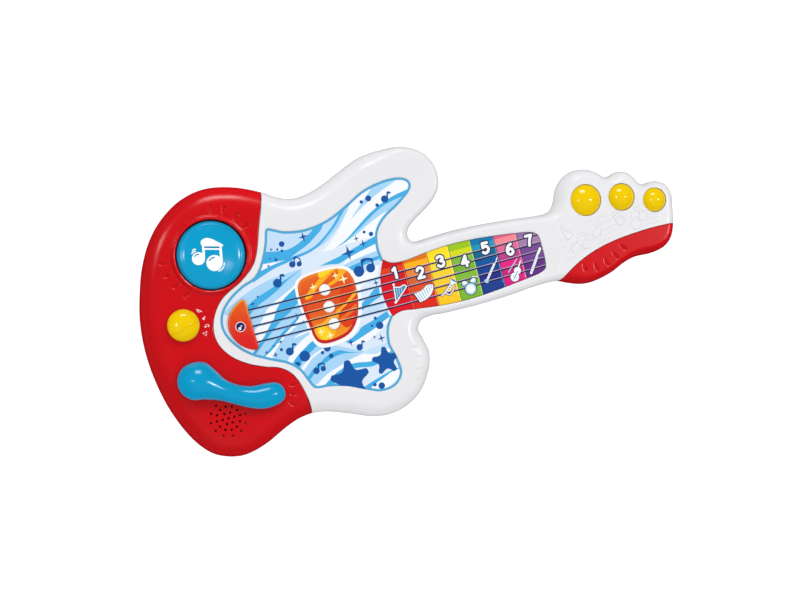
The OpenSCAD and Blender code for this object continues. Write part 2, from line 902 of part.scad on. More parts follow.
module neck_ribbon() {
    color([0.60, 0.62, 0.66]) {
        block([-77, -66], [20, 8], on_board_z, on_board_z + ribbon_t);
        block([ribbon_turn[0], -40], [8, 60], on_board_z, on_board_z + ribbon_t);
        block(ribbon_turn, [8, 8], on_board_z, ribbon_z + ribbon_t);
        block([-52, ribbon_turn[1]], [39, 8], ribbon_z, ribbon_z + ribbon_t);
        block([-36, ribbon_turn[1]], [7, 8], ribbon_z, key_board_z);
    }
}

// ---------------------------------------------------------------- nodes

back_shell();
front_shell();
body_cover();
head_cover();
body_label();
bridge_plate();
pickup_plate();
light_window();
led_board();
for (i = [1:3]) led(i);
big_button();
big_button_screw();
big_button_spring();
drum_switch();
lever();
lever_screw();
lever_spring();
lever_switch();
selector_knob();
selector_switch();
for (i = [1:3]) head_button(i);
head_pad();
head_board();
for (i = [1:7]) key(i);
key_pad();
neck_board();
speaker_frame();
speaker_cone();
speaker_magnet();
main_board();
sound_chip();
battery_tray();
for (i = [1:3]) cell(i);
battery_contacts();
battery_door();
battery_door_screw();
case_screws();
battery_leads();
speaker_leads();
neck_ribbon();
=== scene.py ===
"""Toy electric guitar: the looks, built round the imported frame.

Lengths are in millimetres in the row frame (+X to the head, +Z up through the face) until a mesh is made.
"""
import json
import math

import bpy
import numpy as np
from mathutils import Matrix, Vector, geometry

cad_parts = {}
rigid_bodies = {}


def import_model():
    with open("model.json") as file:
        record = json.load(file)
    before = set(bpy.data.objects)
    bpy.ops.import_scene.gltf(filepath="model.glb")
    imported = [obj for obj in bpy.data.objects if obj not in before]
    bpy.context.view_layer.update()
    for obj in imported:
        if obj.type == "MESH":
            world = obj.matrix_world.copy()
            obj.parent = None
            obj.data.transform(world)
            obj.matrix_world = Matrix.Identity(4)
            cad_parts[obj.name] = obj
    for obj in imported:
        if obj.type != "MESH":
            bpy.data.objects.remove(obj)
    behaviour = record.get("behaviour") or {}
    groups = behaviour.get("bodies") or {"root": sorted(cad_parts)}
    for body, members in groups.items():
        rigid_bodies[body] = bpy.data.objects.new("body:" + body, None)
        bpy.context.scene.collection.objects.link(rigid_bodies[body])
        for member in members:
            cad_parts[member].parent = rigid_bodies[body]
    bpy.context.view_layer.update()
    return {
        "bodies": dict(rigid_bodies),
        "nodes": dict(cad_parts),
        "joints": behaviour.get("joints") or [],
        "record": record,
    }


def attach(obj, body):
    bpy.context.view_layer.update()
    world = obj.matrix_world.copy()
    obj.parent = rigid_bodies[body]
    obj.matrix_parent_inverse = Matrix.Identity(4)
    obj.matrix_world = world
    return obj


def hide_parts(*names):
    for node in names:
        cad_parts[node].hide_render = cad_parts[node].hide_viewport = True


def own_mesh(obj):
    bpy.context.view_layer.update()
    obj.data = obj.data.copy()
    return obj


MM = 0.001

# ---------------------------------------------------------------- sizes shared with the CAD source

PART_Z = 20.0
FACE_Z = 37.6
COVER_Z = 38.5
NECK_BACK_Z = 8.0
LABEL_Z = 37.3
KEY_Z = 37.2
PICKUP_Z = 38.5
BRIDGE_Z = 40.3
LIGHT_Z = 38.4
LEVER_Z = 39.5
LEVER_TOP_Z = 51.5
KNOB_Z = 38.6
BIG_R = 31.0
WELL_R = 32.1
KNOB_R = 14.5
LIGHT_R = 5.4
HOLE_R = 1.1
KEY_GAP = 0.4
HEAD_COVER_Z = 38.1
PICKUP_BORDER = 3.0
BRIDGE_BORDER = 1.5
LEVER_BALL_R = 17.3
KNOB_SIDE_Z = 38.9
KNOB_CROWN = 8.8
KNOB_RIB_TURN = -13.4
DOME_SIDE_Z = 37.9
DOME_RISE = 6.6
COIL_FOOT_Z = 26.1
COIL_TOP_Z = 37.9
WELL_WALL_Z = 27.0
RING_R = 33.7
RING_HALF = 1.95
RING_RISE = 1.5
RED_DENT = 1.3
DOOR_HALF_X = 31.3
DOOR_HALF_Y = 29.3
SCREW_WAY_R = 3.2
# The back rises to the thinner neck between these places
NECK_STEP_FROM = -7
NECK_STEP_TO = 26

BIG_SPOT = (-182.2, 62)
KNOB_SPOT = (-222, 7.2)
LEVER_SPOT = (-223.2, -44.2)
SPEAKER_SPOT = (-204, -84)
BATTERY_SPOT = (-112, 1)
HEAD_SPOTS = [(171.8, 25.6), (206.8, 20), (238.2, 9.6)]
HEAD_RADII = [14.6, 12.6, 11.2]
LIGHT_SPOTS = [(-90, 6), (-90, -10), (-89.5, -26)]
KEY_EDGES = [-60, -13, 10.5, 31.7, 53.5, 76, 98, 140]
SCREW_SPOTS = [(-241, 34), (-237, -76), (-146, 101), (-159, -96), (14, 101), (-36, -106), (-84, 80),
               (128, -10), (188, -8)]
SOUND_RINGS = [(6, 5.3), (12, 10.7), (12, 16.2)]

# Outline points run clockwise seen from the front. A third number marks a sharp corner.
BODY_OUTLINE = [
    (-122, 106.5), (-146, 117), (-171, 121.7), (-194, 117.5), (-214, 106), (-230, 90), (-243, 68), (-252, 43),
    (-258, 18), (-260, -10), (-257.5, -39), (-251, -67), (-239.5, -94), (-226, -111.5), (-211, -119.5),
    (-195, -121.8), (-175, -117), (-155, -108), (-141, -103), (-127, -101.5), (-114, -103.5),
    (-95, -110.5), (-77, -118), (-60, -121.5), (-43, -119), (-25, -109), (-12, -91), (-7.5, -75),
    (-10, -61), (-12, -51), (-4, -43.5), (20, -44), (50, -44.5), (82, -43.5), (109, -41.5), (129, -42),
    (141, -47), (153, -51), (164, -51.5), (182, -48), (197, -42), (210, -39), (227, -39.5), (240, -37),
    (249, -30), (255, -17), (258.5, -1), (260, 11), (257, 21), (250, 26), (243, 27), (236, 26.5), (231, 29),
    (226, 37), (220, 42.5), (212, 44), (204.5, 42), (199, 42.5), (191, 49.5), (182, 54), (170, 55),
    (159, 50.5), (151, 42), (146, 31), (140, 24), (129, 22.5), (100, 25.5), (70, 28), (40, 29), (15, 28),
    (3.5, 28), (-0.5, 33.5), (2, 41), (10, 47.5), (22, 54.5), (34, 64), (40.5, 76), (40, 93), (31, 107.5),
    (14, 116.5), (-4, 118), (-26, 116), (-47, 108), (-68, 99), (-87, 94), (-101, 95), (-112, 100),
]
BODY_SEAM = [
    (-117, 128), (-124, 104), (-133, 79), (-145, 48), (-159, 34.5), (-183, 21), (-195, 4), (-197, -13),
    (-190, -28), (-177, -39.5), (-161, -47.5), (-147, -52.5), (-137, -62), (-131, -79), (-128.5, -99),
    (-127.5, -130),
]
HEAD_SEAM = [
    (126, -47), (133, -40), (142, -34), (155, -27.5), (171, -22), (185, -19), (200, -17), (226, -15.5),
    (248, -16), (266, -17),
]
LABEL_OUTLINE = [
    (-127, 73), (-121, 70.5), (-112, 66.5), (-94, 64), (-73, 67), (-54, 75), (-34, 85), (-14, 89.5), (2, 89),
    (10.5, 84.5), (11, 77), (-3, 65.5), (-20, 55.5), (-29, 45), (-32, 32), (-31, 20, 0), (-37, 5), (-39, -10),
    (-38, -22), (-35, -33.5, 0), (-41, -43), (-43.5, -57), (-40, -72), (-39.5, -86), (-48, -95.5),
    (-62, -97.5), (-76, -92), (-92, -84.5), (-108, -80.5), (-121, -78.5), (-125.5, -71), (-131, -59),
    (-140, -50.5), (-155, -43), (-171, -33.5), (-183, -21), (-189.5, -6), (-187, 8), (-177, 19.5),
    (-163, 28), (-149, 33.5), (-140, 45), (-133, 60), (-129.5, 71),
]
KEY_FIELD = [
    (-31, 19.6, 0), (-24, 14.8), (-12, 13.5), (10, 15.8), (30, 17.3), (53, 17), (78, 14.8), (97, 12.3),
    (113, 9.3), (118.5, 5), (119.6, -4), (119.6, -18), (118, -26.5), (112, -29.8), (98, -31.8), (78, -34),
    (55, -36), (33, -36.6), (11, -35.3), (-12, -32.6), (-26, -31), (-35, -33.5, 0), (-38, -22), (-39, -10),
    (-37, 5),
]
PICKUP_OUTLINE = [
    (-112.1, 17.4), (-105.6, 21.4), (-92.6, 22.7), (-77.6, 22.4), (-67.1, 18.9), (-62.3, 10.4),
    (-61.6, -3.6), (-64.1, -17.6), (-69.1, -29.6), (-77.6, -38.1), (-90.6, -41.6), (-103.1, -41.1),
    (-109.1, -36.1), (-111.6, -23.6), (-113.6, -5.6), (-114.1, 9.4),
]
BRIDGE_OUTLINE = [
    (-165.7, 16.2), (-162.8, 14.2), (-162.5, 3.7, 0), (-161.8, -19.3, 0), (-161.6, -28.8), (-164.2, -30.9),
    (-174.2, -25.8), (-181.2, -16.8), (-183.8, -6.3), (-181.2, 4.2), (-174.2, 11.7),
]
LEVER_OUTLINE = [
    (-223.1, -27.2), (-212.1, -29.7), (-205.1, -38.2), (-198, -49.2), (-187.6, -57.2), (-176.1, -61.2),
    (-163.6, -62.2), (-153.2, -64.7), (-148.7, -72.2), (-151.2, -80.2), (-160.5, -83.9), (-173, -83.5),
    (-185.5, -78.7), (-197, -72.2), (-208.1, -66.2), (-221.1, -61.7), (-232.1, -58.7), (-239.1, -50.7),
    (-240.1, -40.7), (-234.1, -30.7),
]


# ---------------------------------------------------------------- curves and flat shapes


def heading(a, b):
    return (b - a) / max(np.hypot(*(b - a)), 1e-9)


def curve(points, steps=6, closed=True):
    """A smooth curve through the points, the same one that the CAD source draws."""
    flat = [np.array(p[:2], float) for p in points]
    n = len(flat)
    out = []
    for i in range(n if closed else n - 1):
        j = (i + 1) % n
        a, b = flat[i], flat[j]
        first = not closed and i == 0
        last = not closed and j == n - 1
        leaving = heading(a, b) if len(points[i]) > 2 or first else heading(flat[i - 1], b)
        arriving = heading(a, b) if len(points[j]) > 2 or last else heading(a, flat[(i + 2) % n])
        handle = np.hypot(*(b - a)) / 3
        c, d = a + leaving * handle, b - arriving * handle
        for k in range(steps):
            t = k / steps
            s = 1 - t
            out.append(s ** 3 * a + 3 * s * s * t * c + 3 * s * t * t * d + t ** 3 * b)
    if not closed:
        out.append(flat[-1])
    return np.array(out)


def circle(spot, r, sides=48):
    turn = np.arange(sides) * 2 * math.pi / sides
    return np.array(spot, float) + r * np.stack([np.cos(turn), np.sin(turn)], 1)


def ellipse(spot, a, b, angle=0, sides=32):
    turn = np.arange(sides) * 2 * math.pi / sides
    return turned(np.stack([a * np.cos(turn), b * np.sin(turn)], 1), angle) + np.array(spot, float)


def turned(points, angle):
    c, s = math.cos(math.radians(angle)), math.sin(math.radians(angle))
    return np.asarray(points, float) @ np.array([[c, s], [-s, c]])


def resampled(path, gap, closed=True):
    """The same line with evenly spread points."""
    ends = np.vstack([path, path[:1]]) if closed else path
    run = np.concatenate([[0], np.cumsum(np.hypot(*np.diff(ends, axis=0).T))])
    count = max(int(run[-1] / gap), 3)
    at = np.linspace(0, run[-1], count + 1)
    if closed:
        at = at[:-1]
    return np.stack([np.interp(at, run, ends[:, 0]), np.interp(at, run, ends[:, 1])], 1)


def distance(points, path, closed=True):
    """How far each point is from a line."""
    a = path if closed else path[:-1]
    b = np.roll(path, -1, axis=0) if closed else path[1:]
    ab = b - a
    size = np.maximum((ab ** 2).sum(1), 1e-12)
    out = np.empty(len(points))
    for s in range(0, len(points), 3000):
        px = points[s:s + 3000, 0:1] - a[:, 0]
        py = points[s:s + 3000, 1:2] - a[:, 1]
        t = np.clip((px * ab[:, 0] + py * ab[:, 1]) / size, 0, 1)
        px -= t * ab[:, 0]
        py -= t * ab[:, 1]
        out[s:s + 3000] = np.sqrt((px * px + py * py).min(1))
    return out


def inside(points, loop):
    x1, y1 = loop.T
    x2, y2 = np.roll(loop, -1, axis=0).T
    rise = np.where(y2 == y1, 1e-12, y2 - y1)
    out = np.zeros(len(points), bool)
    low, high = loop.min(0), loop.max(0)
    near = np.flatnonzero(((points >= low) & (points <= high)).all(1))
    for s in range(0, len(near), 3000):
        pick = near[s:s + 3000]
        x, y = points[pick, 0:1], points[pick, 1:2]
        crosses = ((y1 > y) != (y2 > y)) & (x < x1 + (y - y1) * (x2 - x1) / rise)
        out[pick] = crosses.sum(1) % 2 == 1
    return out


def within(points, loop, holes=()):
    """True inside a loop and outside all its holes."""
    keep = inside(points, loop)
    for hole in holes:
        keep &= ~inside(points, hole)
    return keep


def far_from(points, spot):
    """How far each point is from a spot."""
    return np.hypot(points[:, 0] - spot[0], points[:, 1] - spot[1])


def flat_at(z):
    """A height function for a level face."""
    return lambda p: np.full(len(p), z)


def normals(loop, closed=True):
    """Unit normals at each point of a line, on its right-hand side: inwards for a clockwise outline."""
    if closed:
        along = np.roll(loop, -1, axis=0) - np.roll(loop, 1, axis=0)
    else:
        along = np.gradient(loop, axis=0)
    along /= np.maximum(np.hypot(*along.T), 1e-9)[:, None]
    return np.stack([along[:, 1], -along[:, 0]], 1)


def clockwise(loop):
    x, y = loop.T
    area = (x * np.roll(y, -1) - np.roll(x, -1) * y).sum()
    return loop if area < 0 else loop[::-1]


def stroke_outline(path, width):
    """The outline of a round-ended stroke along a path."""
    side = normals(path, closed=False) * width / 2
    tip = heading(path[-2], path[-1])
    tail = heading(path[1], path[0])
    turn = np.radians(np.arange(30, 180, 30))
    start, end = -side[-1], side[0]
    cap1 = [path[-1] + start * math.cos(a) + tip * width / 2 * math.sin(a) for a in turn]
    cap2 = [path[0] + end * math.cos(a) + tail * width / 2 * math.sin(a) for a in turn]
    return np.vstack([path - side, cap1, (path + side)[::-1], cap2])


def smoothstep(x, low, high):
    t = np.clip((x - low) / (high - low), 0, 1)
    return t * t * (3 - 2 * t)


def rim(d, width, power=2.2):
    """Height of a rounded rim: 0 at the edge, 1 from `width` inwards."""
    t = np.clip(1 - d / width, 0, 1)
    return (1 - t ** power) ** (1 / power)


RIM_SHARES = [0.16, 0.32, 0.46, 0.58, 0.69, 0.78, 0.86, 0.92, 0.965, 0.99, 1.0]


def rim_depths(power=2.2):
    """Depths, as shares of the rim's width, that climb its curve in even steps."""
    return [1 - (1 - s ** power) ** (1 / power) for s in RIM_SHARES]


# ---------------------------------------------------------------- materials


def srgb(r, g, b):
    def one(c):
        c /= 255
        return c / 12.92 if c <= 0.04045 else ((c + 0.055) / 1.055) ** 2.4
    return (one(r), one(g), one(b), 1)


_materials = {}


def node(tree, kind, **inputs):
    """A new shader node. An input takes a value, or the socket that it is linked to."""
    made = tree.nodes.new("ShaderNode" + kind)
    for name, value in inputs.items():
        socket = made.inputs[name.replace("_", " ")]
        if isinstance(value, bpy.types.NodeSocket):
            tree.links.new(value, socket)
        else:
            socket.default_value = value
    return made


def base_material(name, rough, specular=0.5, metal=0.0, grain=900, bump=0.03):
    """A plain shader with fine moulded grain. Returns the material, its shader and its object coordinates."""
    m = bpy.data.materials.new(name)
    m.use_nodes = True
    tree = m.node_tree
    shader = tree.nodes["Principled BSDF"]
    shader.inputs["Specular IOR Level"].default_value = specular
    shader.inputs["Metallic"].default_value = metal
    coords = node(tree, "TexCoord").outputs["Object"]
    noise = node(tree, "TexNoise", Scale=grain, Detail=3, Vector=coords).outputs["Fac"]
    spread = node(tree, "MapRange", To_Min=rough * 0.88, To_Max=rough * 1.12, Value=noise)
    tree.links.new(spread.outputs["Result"], shader.inputs["Roughness"])
    height = node(tree, "Bump", Strength=bump, Distance=0.0002, Height=noise)
    tree.links.new(height.outputs["Normal"], shader.inputs["Normal"])
    return m, shader, coords


def mottle(m, shader, coords, source, amount, scale):
    """Puts a colour through a slow, faint change of shade and into the shader."""
    tree = m.node_tree
    cloud = node(tree, "TexNoise", Scale=scale, Detail=2, Vector=coords).outputs["Fac"]
    shade = node(tree, "MapRange", From_Min=0.3, From_Max=0.7, To_Min=1 - amount, To_Max=1, Value=cloud)
    mix = node(tree, "VectorMath")
    mix.operation = "SCALE"
    if isinstance(source, tuple):
        mix.inputs[0].default_value = source[:3]
    else:
        tree.links.new(source, mix.inputs[0])
    tree.links.new(shade.outputs["Result"], mix.inputs["Scale"])
    tree.links.new(mix.outputs["Vector"], shader.inputs["Base Color"])


def plain(name, colour, rough=0.35, vary=0.04, cloud=30, **look):
    if name not in _materials:
        m, shader, coords = base_material(name, rough, **look)
        mottle(m, shader, coords, colour, vary, cloud)
        _materials[name] = m
    return _materials[name]


def graded(name, axis, stops, rough=0.35, vary=0.03, cloud=40, **look):
    """A colour that changes along an axis (a direction in X and Y). Stops are (millimetres, colour)."""
    if name not in _materials:
        m, shader, coords = base_material(name, rough, **look)
        tree = m.node_tree
        dot = node(tree, "VectorMath")
        dot.operation = "DOT_PRODUCT"
        dot.inputs[1].default_value = (axis[0], axis[1], 0)
        tree.links.new(coords, dot.inputs[0])
        low, high = stops[0][0], stops[-1][0]
        spread = node(tree, "MapRange", From_Min=low * MM, From_Max=high * MM, Value=dot.outputs["Value"])
        ramp = node(tree, "ValToRGB", Fac=spread.outputs["Result"])
        elements = ramp.color_ramp.elements
        while len(elements) < len(stops):
            elements.new(0.5)
        for element, (at, colour) in zip(elements, stops):
            element.position = (at - low) / (high - low)
        for element, (at, colour) in zip(elements, stops):
            element.color = colour
        mottle(m, shader, coords, ramp.outputs["Color"], vary, cloud)
        _materials[name] = m
    return _materials[name]


def across(name, axis, stops, **look):
    """A graded colour from stops of (millimetres, red, green, blue)."""
    return graded(name, axis, [(at, srgb(*tone)) for at, *tone in stops], **look)


def white_plastic():
    return plain("white_plastic", srgb(234, 234, 237), rough=0.26, vary=0.015, specular=0.5, bump=0.02)


def red_plastic():
    return plain("red_plastic", srgb(198, 0, 12), rough=0.23, vary=0.03, specular=0.5, bump=0.012)


def blue_plastic():
    return plain("blue_plastic", srgb(0, 158, 206), rough=0.17, vary=0.03, specular=0.6, bump=0.008)


def yellow_plastic():
    return plain("yellow_plastic", srgb(246, 206, 0), rough=0.13, vary=0.02, specular=0.6, bump=0.006)


def ink(name, r, g, b, rough=0.38):
    return plain("ink_" + name, srgb(r, g, b), rough=rough, vary=0.03, cloud=60, specular=0.35, bump=0.02,
                 grain=1500)


# ---------------------------------------------------------------- meshes


class Plan:
    """A flat pattern of lines and dots that is cut into triangles."""

    def __init__(self):
        self.points = []
        self.edges = []
        self.lines = []

    def line(self, path, closed=True):
        start = len(self.points)
        n = len(path)
        self.points.extend(map(tuple, path))
        self.edges.extend((start + i, start + (i + 1) % n) for i in range(n if closed else n - 1))
        self.lines.append((path, closed))

    def lines_of(self, *loops, closed=True):
        for loop in loops:
            self.line(loop, closed)

    def clear_of_lines(self, dots, gap, skip=None):
        """The dots that keep a gap to every line but `skip`."""
        keep = np.ones(len(dots), bool)
        for path, closed in self.lines:
            if path is skip:
                continue
            low, high = path.min(0) - gap, path.max(0) + gap
            near = np.flatnonzero(keep & ((dots >= low) & (dots <= high)).all(1))
            if len(near):
                keep[near] = distance(dots[near], path, closed) >= gap
        return dots[keep]

    def dots(self, dots, gap):
        self.points.extend(map(tuple, self.clear_of_lines(dots, gap)))

    def rings(self, loop, depths, width=1.0, inner=True, gap=0.25, pick=True):
        """Rows of dots beside the picked points of a loop, at the given shares of its width."""
        side = normals(loop) * (1 if inner else -1)
        wide = width(loop) if callable(width) else np.full(len(loop), float(width))
        for depth in depths:
            row = loop + side * (wide * depth)[:, None]
            far_enough = distance(row, loop) >= wide * depth * 0.97 - 0.01
            row = row[pick & far_enough & (inside(row, loop) == inner)]
            self.points.extend(map(tuple, self.clear_of_lines(row, gap, skip=loop)))

    def columns(self, xs, low, high, step, gap):
        """Upright rows of dots at the given places."""
        y = np.arange(low, high, step)
        for x in xs:
            self.dots(np.stack([np.full(len(y), x), y], 1), gap)

    def grid(self, low, high, step, gap=None, where=None):
        xs = np.arange(low[0], high[0], step)
        ys = np.arange(low[1], high[1], step * 0.866)
        x, y = np.meshgrid(xs, ys)
        x = x + (np.arange(len(ys)) % 2)[:, None] * step / 2
        dots = np.stack([x.ravel(), y.ravel()], 1)
        if where is not None:
            dots = dots[where(dots)]
        self.dots(dots, step * 0.55 if gap is None else gap)

    def cut(self):
        """The points and triangles of the pattern, with repeated points merged and slivers dropped."""
        unique = {}
        order = []
        for p in self.points:
            key = (round(p[0], 3), round(p[1], 3))
            if key not in unique:
                unique[key] = len(unique)
            order.append(unique[key])
        spots = [Vector(k) for k in unique]
        edges = {tuple(sorted((order[a], order[b]))) for a, b in self.edges}
        edges = [e for e in edges if e[0] != e[1]]
        verts, _, tris = geometry.delaunay_2d_cdt(spots, edges, [], 0, 1e-4)[:3]
        flat = np.array([tuple(v) for v in verts])
        tris = np.array([t for t in tris if len(t) == 3])
        a, b, c = flat[tris[:, 0]], flat[tris[:, 1]], flat[tris[:, 2]]
        area = (b[:, 0] - a[:, 0]) * (c[:, 1] - a[:, 1]) - (b[:, 1] - a[:, 1]) * (c[:, 0] - a[:, 0])
        tris[area < 0] = tris[area < 0][:, ::-1]
        return flat, tris[np.abs(area) > 1e-6]


def make_mesh(name, verts, faces, materials, indices=None, sharp=32):
    m = bpy.data.meshes.new(name)
    m.from_pydata([tuple(v) for v in np.asarray(verts) * MM], [], [tuple(int(i) for i in f) for f in faces])
    for material in materials:
        m.materials.append(material)
    if indices is not None:
        m.polygons.foreach_set("material_index", np.asarray(indices, dtype=np.int32))
    m.polygons.foreach_set("use_smooth", np.ones(len(m.polygons), bool))
    m.update()
    m.set_sharp_from_angle(angle=math.radians(sharp))
    o = bpy.data.objects.new(name, m)
    bpy.context.scene.collection.objects.link(o)
    return o


def sheet(name, plan, keep, height, materials, paint=None, skirt=None, solid=None, down=False, sharp=32,
          side=0, hollow=None):
    """The triangles of a plan that `keep` picks, lifted to `height`, with walls down its open edges.

    `skirt` gives the height that the walls reach at each edge point;
    `solid` closes the piece at a flat height, and `hollow` says how far above it the underside lies;
    `down` makes a surface that faces down; `side` is the material number of the walls.
    """
    flat, tris = plan.cut()
    mid = flat[tris].mean(1)
    keeping = keep(mid)
    tris, mid = tris[keeping], mid[keeping]
    index = paint(mid) if paint else np.zeros(len(tris), int)
    used, tris = np.unique(tris, return_inverse=True)
    tris = tris.reshape(-1, 3)
    flat = flat[used]
    verts = np.column_stack([flat, height(flat)])
    count = len(verts)
    pairs = {}
    for t in tris:
        for a, b in ((t[0], t[1]), (t[1], t[2]), (t[2], t[0])):
            pairs[(int(a), int(b))] = True
    open_edges = [(a, b) for a, b in pairs if (b, a) not in pairs]
    faces = [tuple(t) for t in tris]
    if skirt is not None or solid is not None:
        rim_points = sorted({p for e in open_edges for p in e})
        low = np.array(verts[rim_points])
        low[:, 2] = solid if solid is not None else skirt(low[:, :2])
        place = {p: count + i for i, p in enumerate(rim_points)}
        verts = np.vstack([verts, low])
        faces += [(a, place[a], place[b], b) for a, b in open_edges]
        index = np.concatenate([index, np.full(len(open_edges), side)])
    if solid is not None:
        inner = [i for i in range(count) if i not in place]
        floor = np.array(verts[inner])
        floor[:, 2] = solid
        if hollow:
            floor[:, 2] += hollow(floor)
        place.update({p: len(verts) + i for i, p in enumerate(inner)})
        verts = np.vstack([verts, floor])
        faces += [(place[int(c)], place[int(b)], place[int(a)]) for a, b, c in tris]
        index = np.concatenate([index, np.full(len(tris), side)])
    if down:
        faces = [f[::-1] for f in faces]
    return make_mesh(name, verts, faces, materials, index, sharp)


def lathe(name, profile, spot, materials, sides=96, sharp=32):
    """A solid of revolution: profile points are (radius, height), from the top's middle to the bottom."""
    profile = np.asarray(profile, float)
    turn = np.arange(sides) * 2 * math.pi / sides
    verts, rows = [], []
    for r, z in profile:
        if r < 1e-6:
            rows.append([len(verts)] * sides)
            verts.append((spot[0], spot[1], z))
        else:
            rows.append(list(range(len(verts), len(verts) + sides)))
            verts.extend((spot[0] + r * math.cos(a), spot[1] + r * math.sin(a), z) for a in turn)
    faces = []
    for upper, lower in zip(rows, rows[1:]):
        for k in range(sides):
            j = (k + 1) % sides
            ring = [upper[k], lower[k], lower[j], upper[j]]
            face = [v for i, v in enumerate(ring) if v != ring[i - 1]]
            if len(face) > 2:
                faces.append(face)
    return make_mesh(name, verts, faces, materials, None, sharp)


def sweep(name, path, r, materials, sides=12):
    """A round bar along a three-dimensional path, with closed ends."""
    path = np.asarray(path, float)
    along = np.gradient(path, axis=0)
    along /= np.linalg.norm(along, axis=1)[:, None]
    up = np.array([0, 0, 1.0])
    verts = []
    for p, a in zip(path, along):
        s = np.cross(a, up)
        s /= max(np.linalg.norm(s), 1e-9)
        t = np.cross(s, a)
        for k in range(sides):
            w = 2 * math.pi * k / sides
            verts.append(p + r * (math.cos(w) * s + math.sin(w) * t))
    faces = []
    for i in range(len(path) - 1):
        for k in range(sides):
            j = (k + 1) % sides
            faces.append((i * sides + j, i * sides + k, (i + 1) * sides + k, (i + 1) * sides + j))
    faces.append(tuple(range(sides)))
    faces.append(tuple((len(path) - 1) * sides + k for k in range(sides))[::-1])
    return make_mesh(name, verts, faces, materials)


# ---------------------------------------------------------------- printed artwork


# All printed shapes lie this much further right and down than they were drawn
ART_SHIFT = np.array([0.4, -0.6])


class Print:
    """A printed picture: shapes in paint order, each with its own colour of ink."""

    def __init__(self, base):
        self.inks = [base]
        self.shapes = []

    def number(self, colour):
        if colour not in self.inks:
            self.inks.append(colour)
        return self.inks.index(colour)

    def area(self, loop, colour):
        self.shapes.append((np.asarray(loop, float) + ART_SHIFT, None, 0, self.number(colour)))

    def blob(self, points, colour, steps=5):
        self.area(curve(points, steps), colour)

    def disc(self, spot, r, colour):
        self.area(circle(spot, r, 28), colour)

    def stroke(self, path, width, colour):
        path = np.asarray(path, float) + ART_SHIFT
        self.shapes.append((stroke_outline(path, width), path, width, self.number(colour)))

    def bend(self, points, width, colour, steps=6):
        self.stroke(curve(points, steps, closed=False), width, colour)

    def band(self, loop, depth, colour):
        """A border of the given depth along the inside of a loop."""
        self.shapes.append((loop, "band", depth, self.number(colour)))

    def lay(self, plan, low, high):
        """Adds the shapes' outlines that lie in a box to a plan."""
        for loop, path, width, _ in self.shapes:
            if isinstance(path, str):
                continue
            if (loop.max(0) > low).all() and (loop.min(0) < high).all():
                plan.line(loop)

    def pick(self, mid):
        index = np.zeros(len(mid), int)
        for loop, path, width, number in self.shapes:
            near = np.flatnonzero(((mid > loop.min(0) - 0.1) & (mid < loop.max(0) + 0.1)).all(1))
            if not len(near):
                continue
            if path is None:
                hit = inside(mid[near], loop)
            elif isinstance(path, str):
                hit = distance(mid[near], loop) < width
            else:
                hit = distance(mid[near], path, closed=False) < width / 2
            index[near[hit]] = number
        return index


def inks_of(art, own, rough=0.38):
    """The materials of a print; `own` holds those that aren't plain inks."""
    return [own[c] if c in own else ink(*c, rough=rough) for c in art.inks]


def sparkle(art, spot, r, colour, tilt=0):
    points = []
    for k in range(8):
        reach = (r * 1.12, r * 0.3)[k % 2]
        a = math.radians(k * 45)
        points.append((reach * math.cos(a), reach * math.sin(a)))
    art.area(turned(points, tilt) + np.array(spot, float), colour)


def star(art, spot, r, colour, tilt=0):
    points = []
    for k in range(10):
        reach = (r, r * 0.58)[k % 2]
        for step in ((-5, 0, 5) if k % 2 == 0 else (0,)):
            a = math.radians(90 + tilt + k * 36 + step * 1.6)
            near = reach * (1 if step == 0 else 0.965)
            points.append((spot[0] + near * math.cos(a), spot[1] + near * math.sin(a)))
    art.blob(points, colour, 4)


def single_note(art, spot, r, colour):
    x, y = spot
    art.disc(spot, r, colour)
    art.bend([(x + r * 0.72, y), (x + r * 1.0, y + r * 0.9), (x + r * 1.15, y + r * 1.55)], r * 0.45, colour,
             3)
    art.blob([(x + r * 0.98, y + r * 1.35), (x + r * 1.15, y + r * 1.75), (x + r * 1.7, y + r * 1.7),
              (x + r * 2.05, y + r * 1.3), (x + r * 1.75, y + r * 1.02), (x + r * 1.4, y + r * 1.2)], colour)


def note_pair(art, one, r1, two, r2, colour, lift=2.2):
    art.disc(one, r1, colour)
    art.disc(two, r2, colour)
    x1, y1 = one[0] + r1 * 0.82, one[1] + r1 * 0.2
    x2, y2 = two[0] + r2 * 0.75, two[1] + r2 * 0.2
    top1, top2 = (x1 + r1 * 0.15, y1 + r1 * lift * 0.75), (x2 - r2 * 0.1, y2 + r2 * lift * 0.72)
    art.stroke(np.array([(x1, y1), top1]), r1 * 0.36, colour)
    art.stroke(np.array([(x2, y2), top2]), r1 * 0.34, colour)
    art.blob([(top1[0] - r1 * 0.15, top1[1] - r1 * 0.5), (top1[0], top1[1] + r1 * 0.12),
              (top1[0] + r1 * 0.8, top1[1] + r1 * 0.25), (top2[0], top2[1] + r2 * 0.3),
              (top2[0] + r2 * 0.35, top2[1] - r2 * 0.1), (top2[0] - r2 * 0.1, top2[1] - r2 * 0.25),
              (top1[0] + r1 * 0.9, top1[1] - r1 * 0.28), (top1[0] + r1 * 0.25, top1[1] - r1 * 0.5)], colour)


# Middle heights of the five printed strings; each sags a little between its ends
STRINGS = [4.8, -2.8, -10.4, -17.9, -25.2]
STRING_FROM = -163.0
STRING_TO = 119.3
LABEL_BORDER = 2.3


def string_sag(x):
    return 1.4 * ((x + 15) / 140) ** 2


def string_path(k, low, high):
    x = np.arange(low, high + 0.1, 6.0)
    x[-1] = high
    return np.stack([x, STRINGS[k] + string_sag(x)], 1)


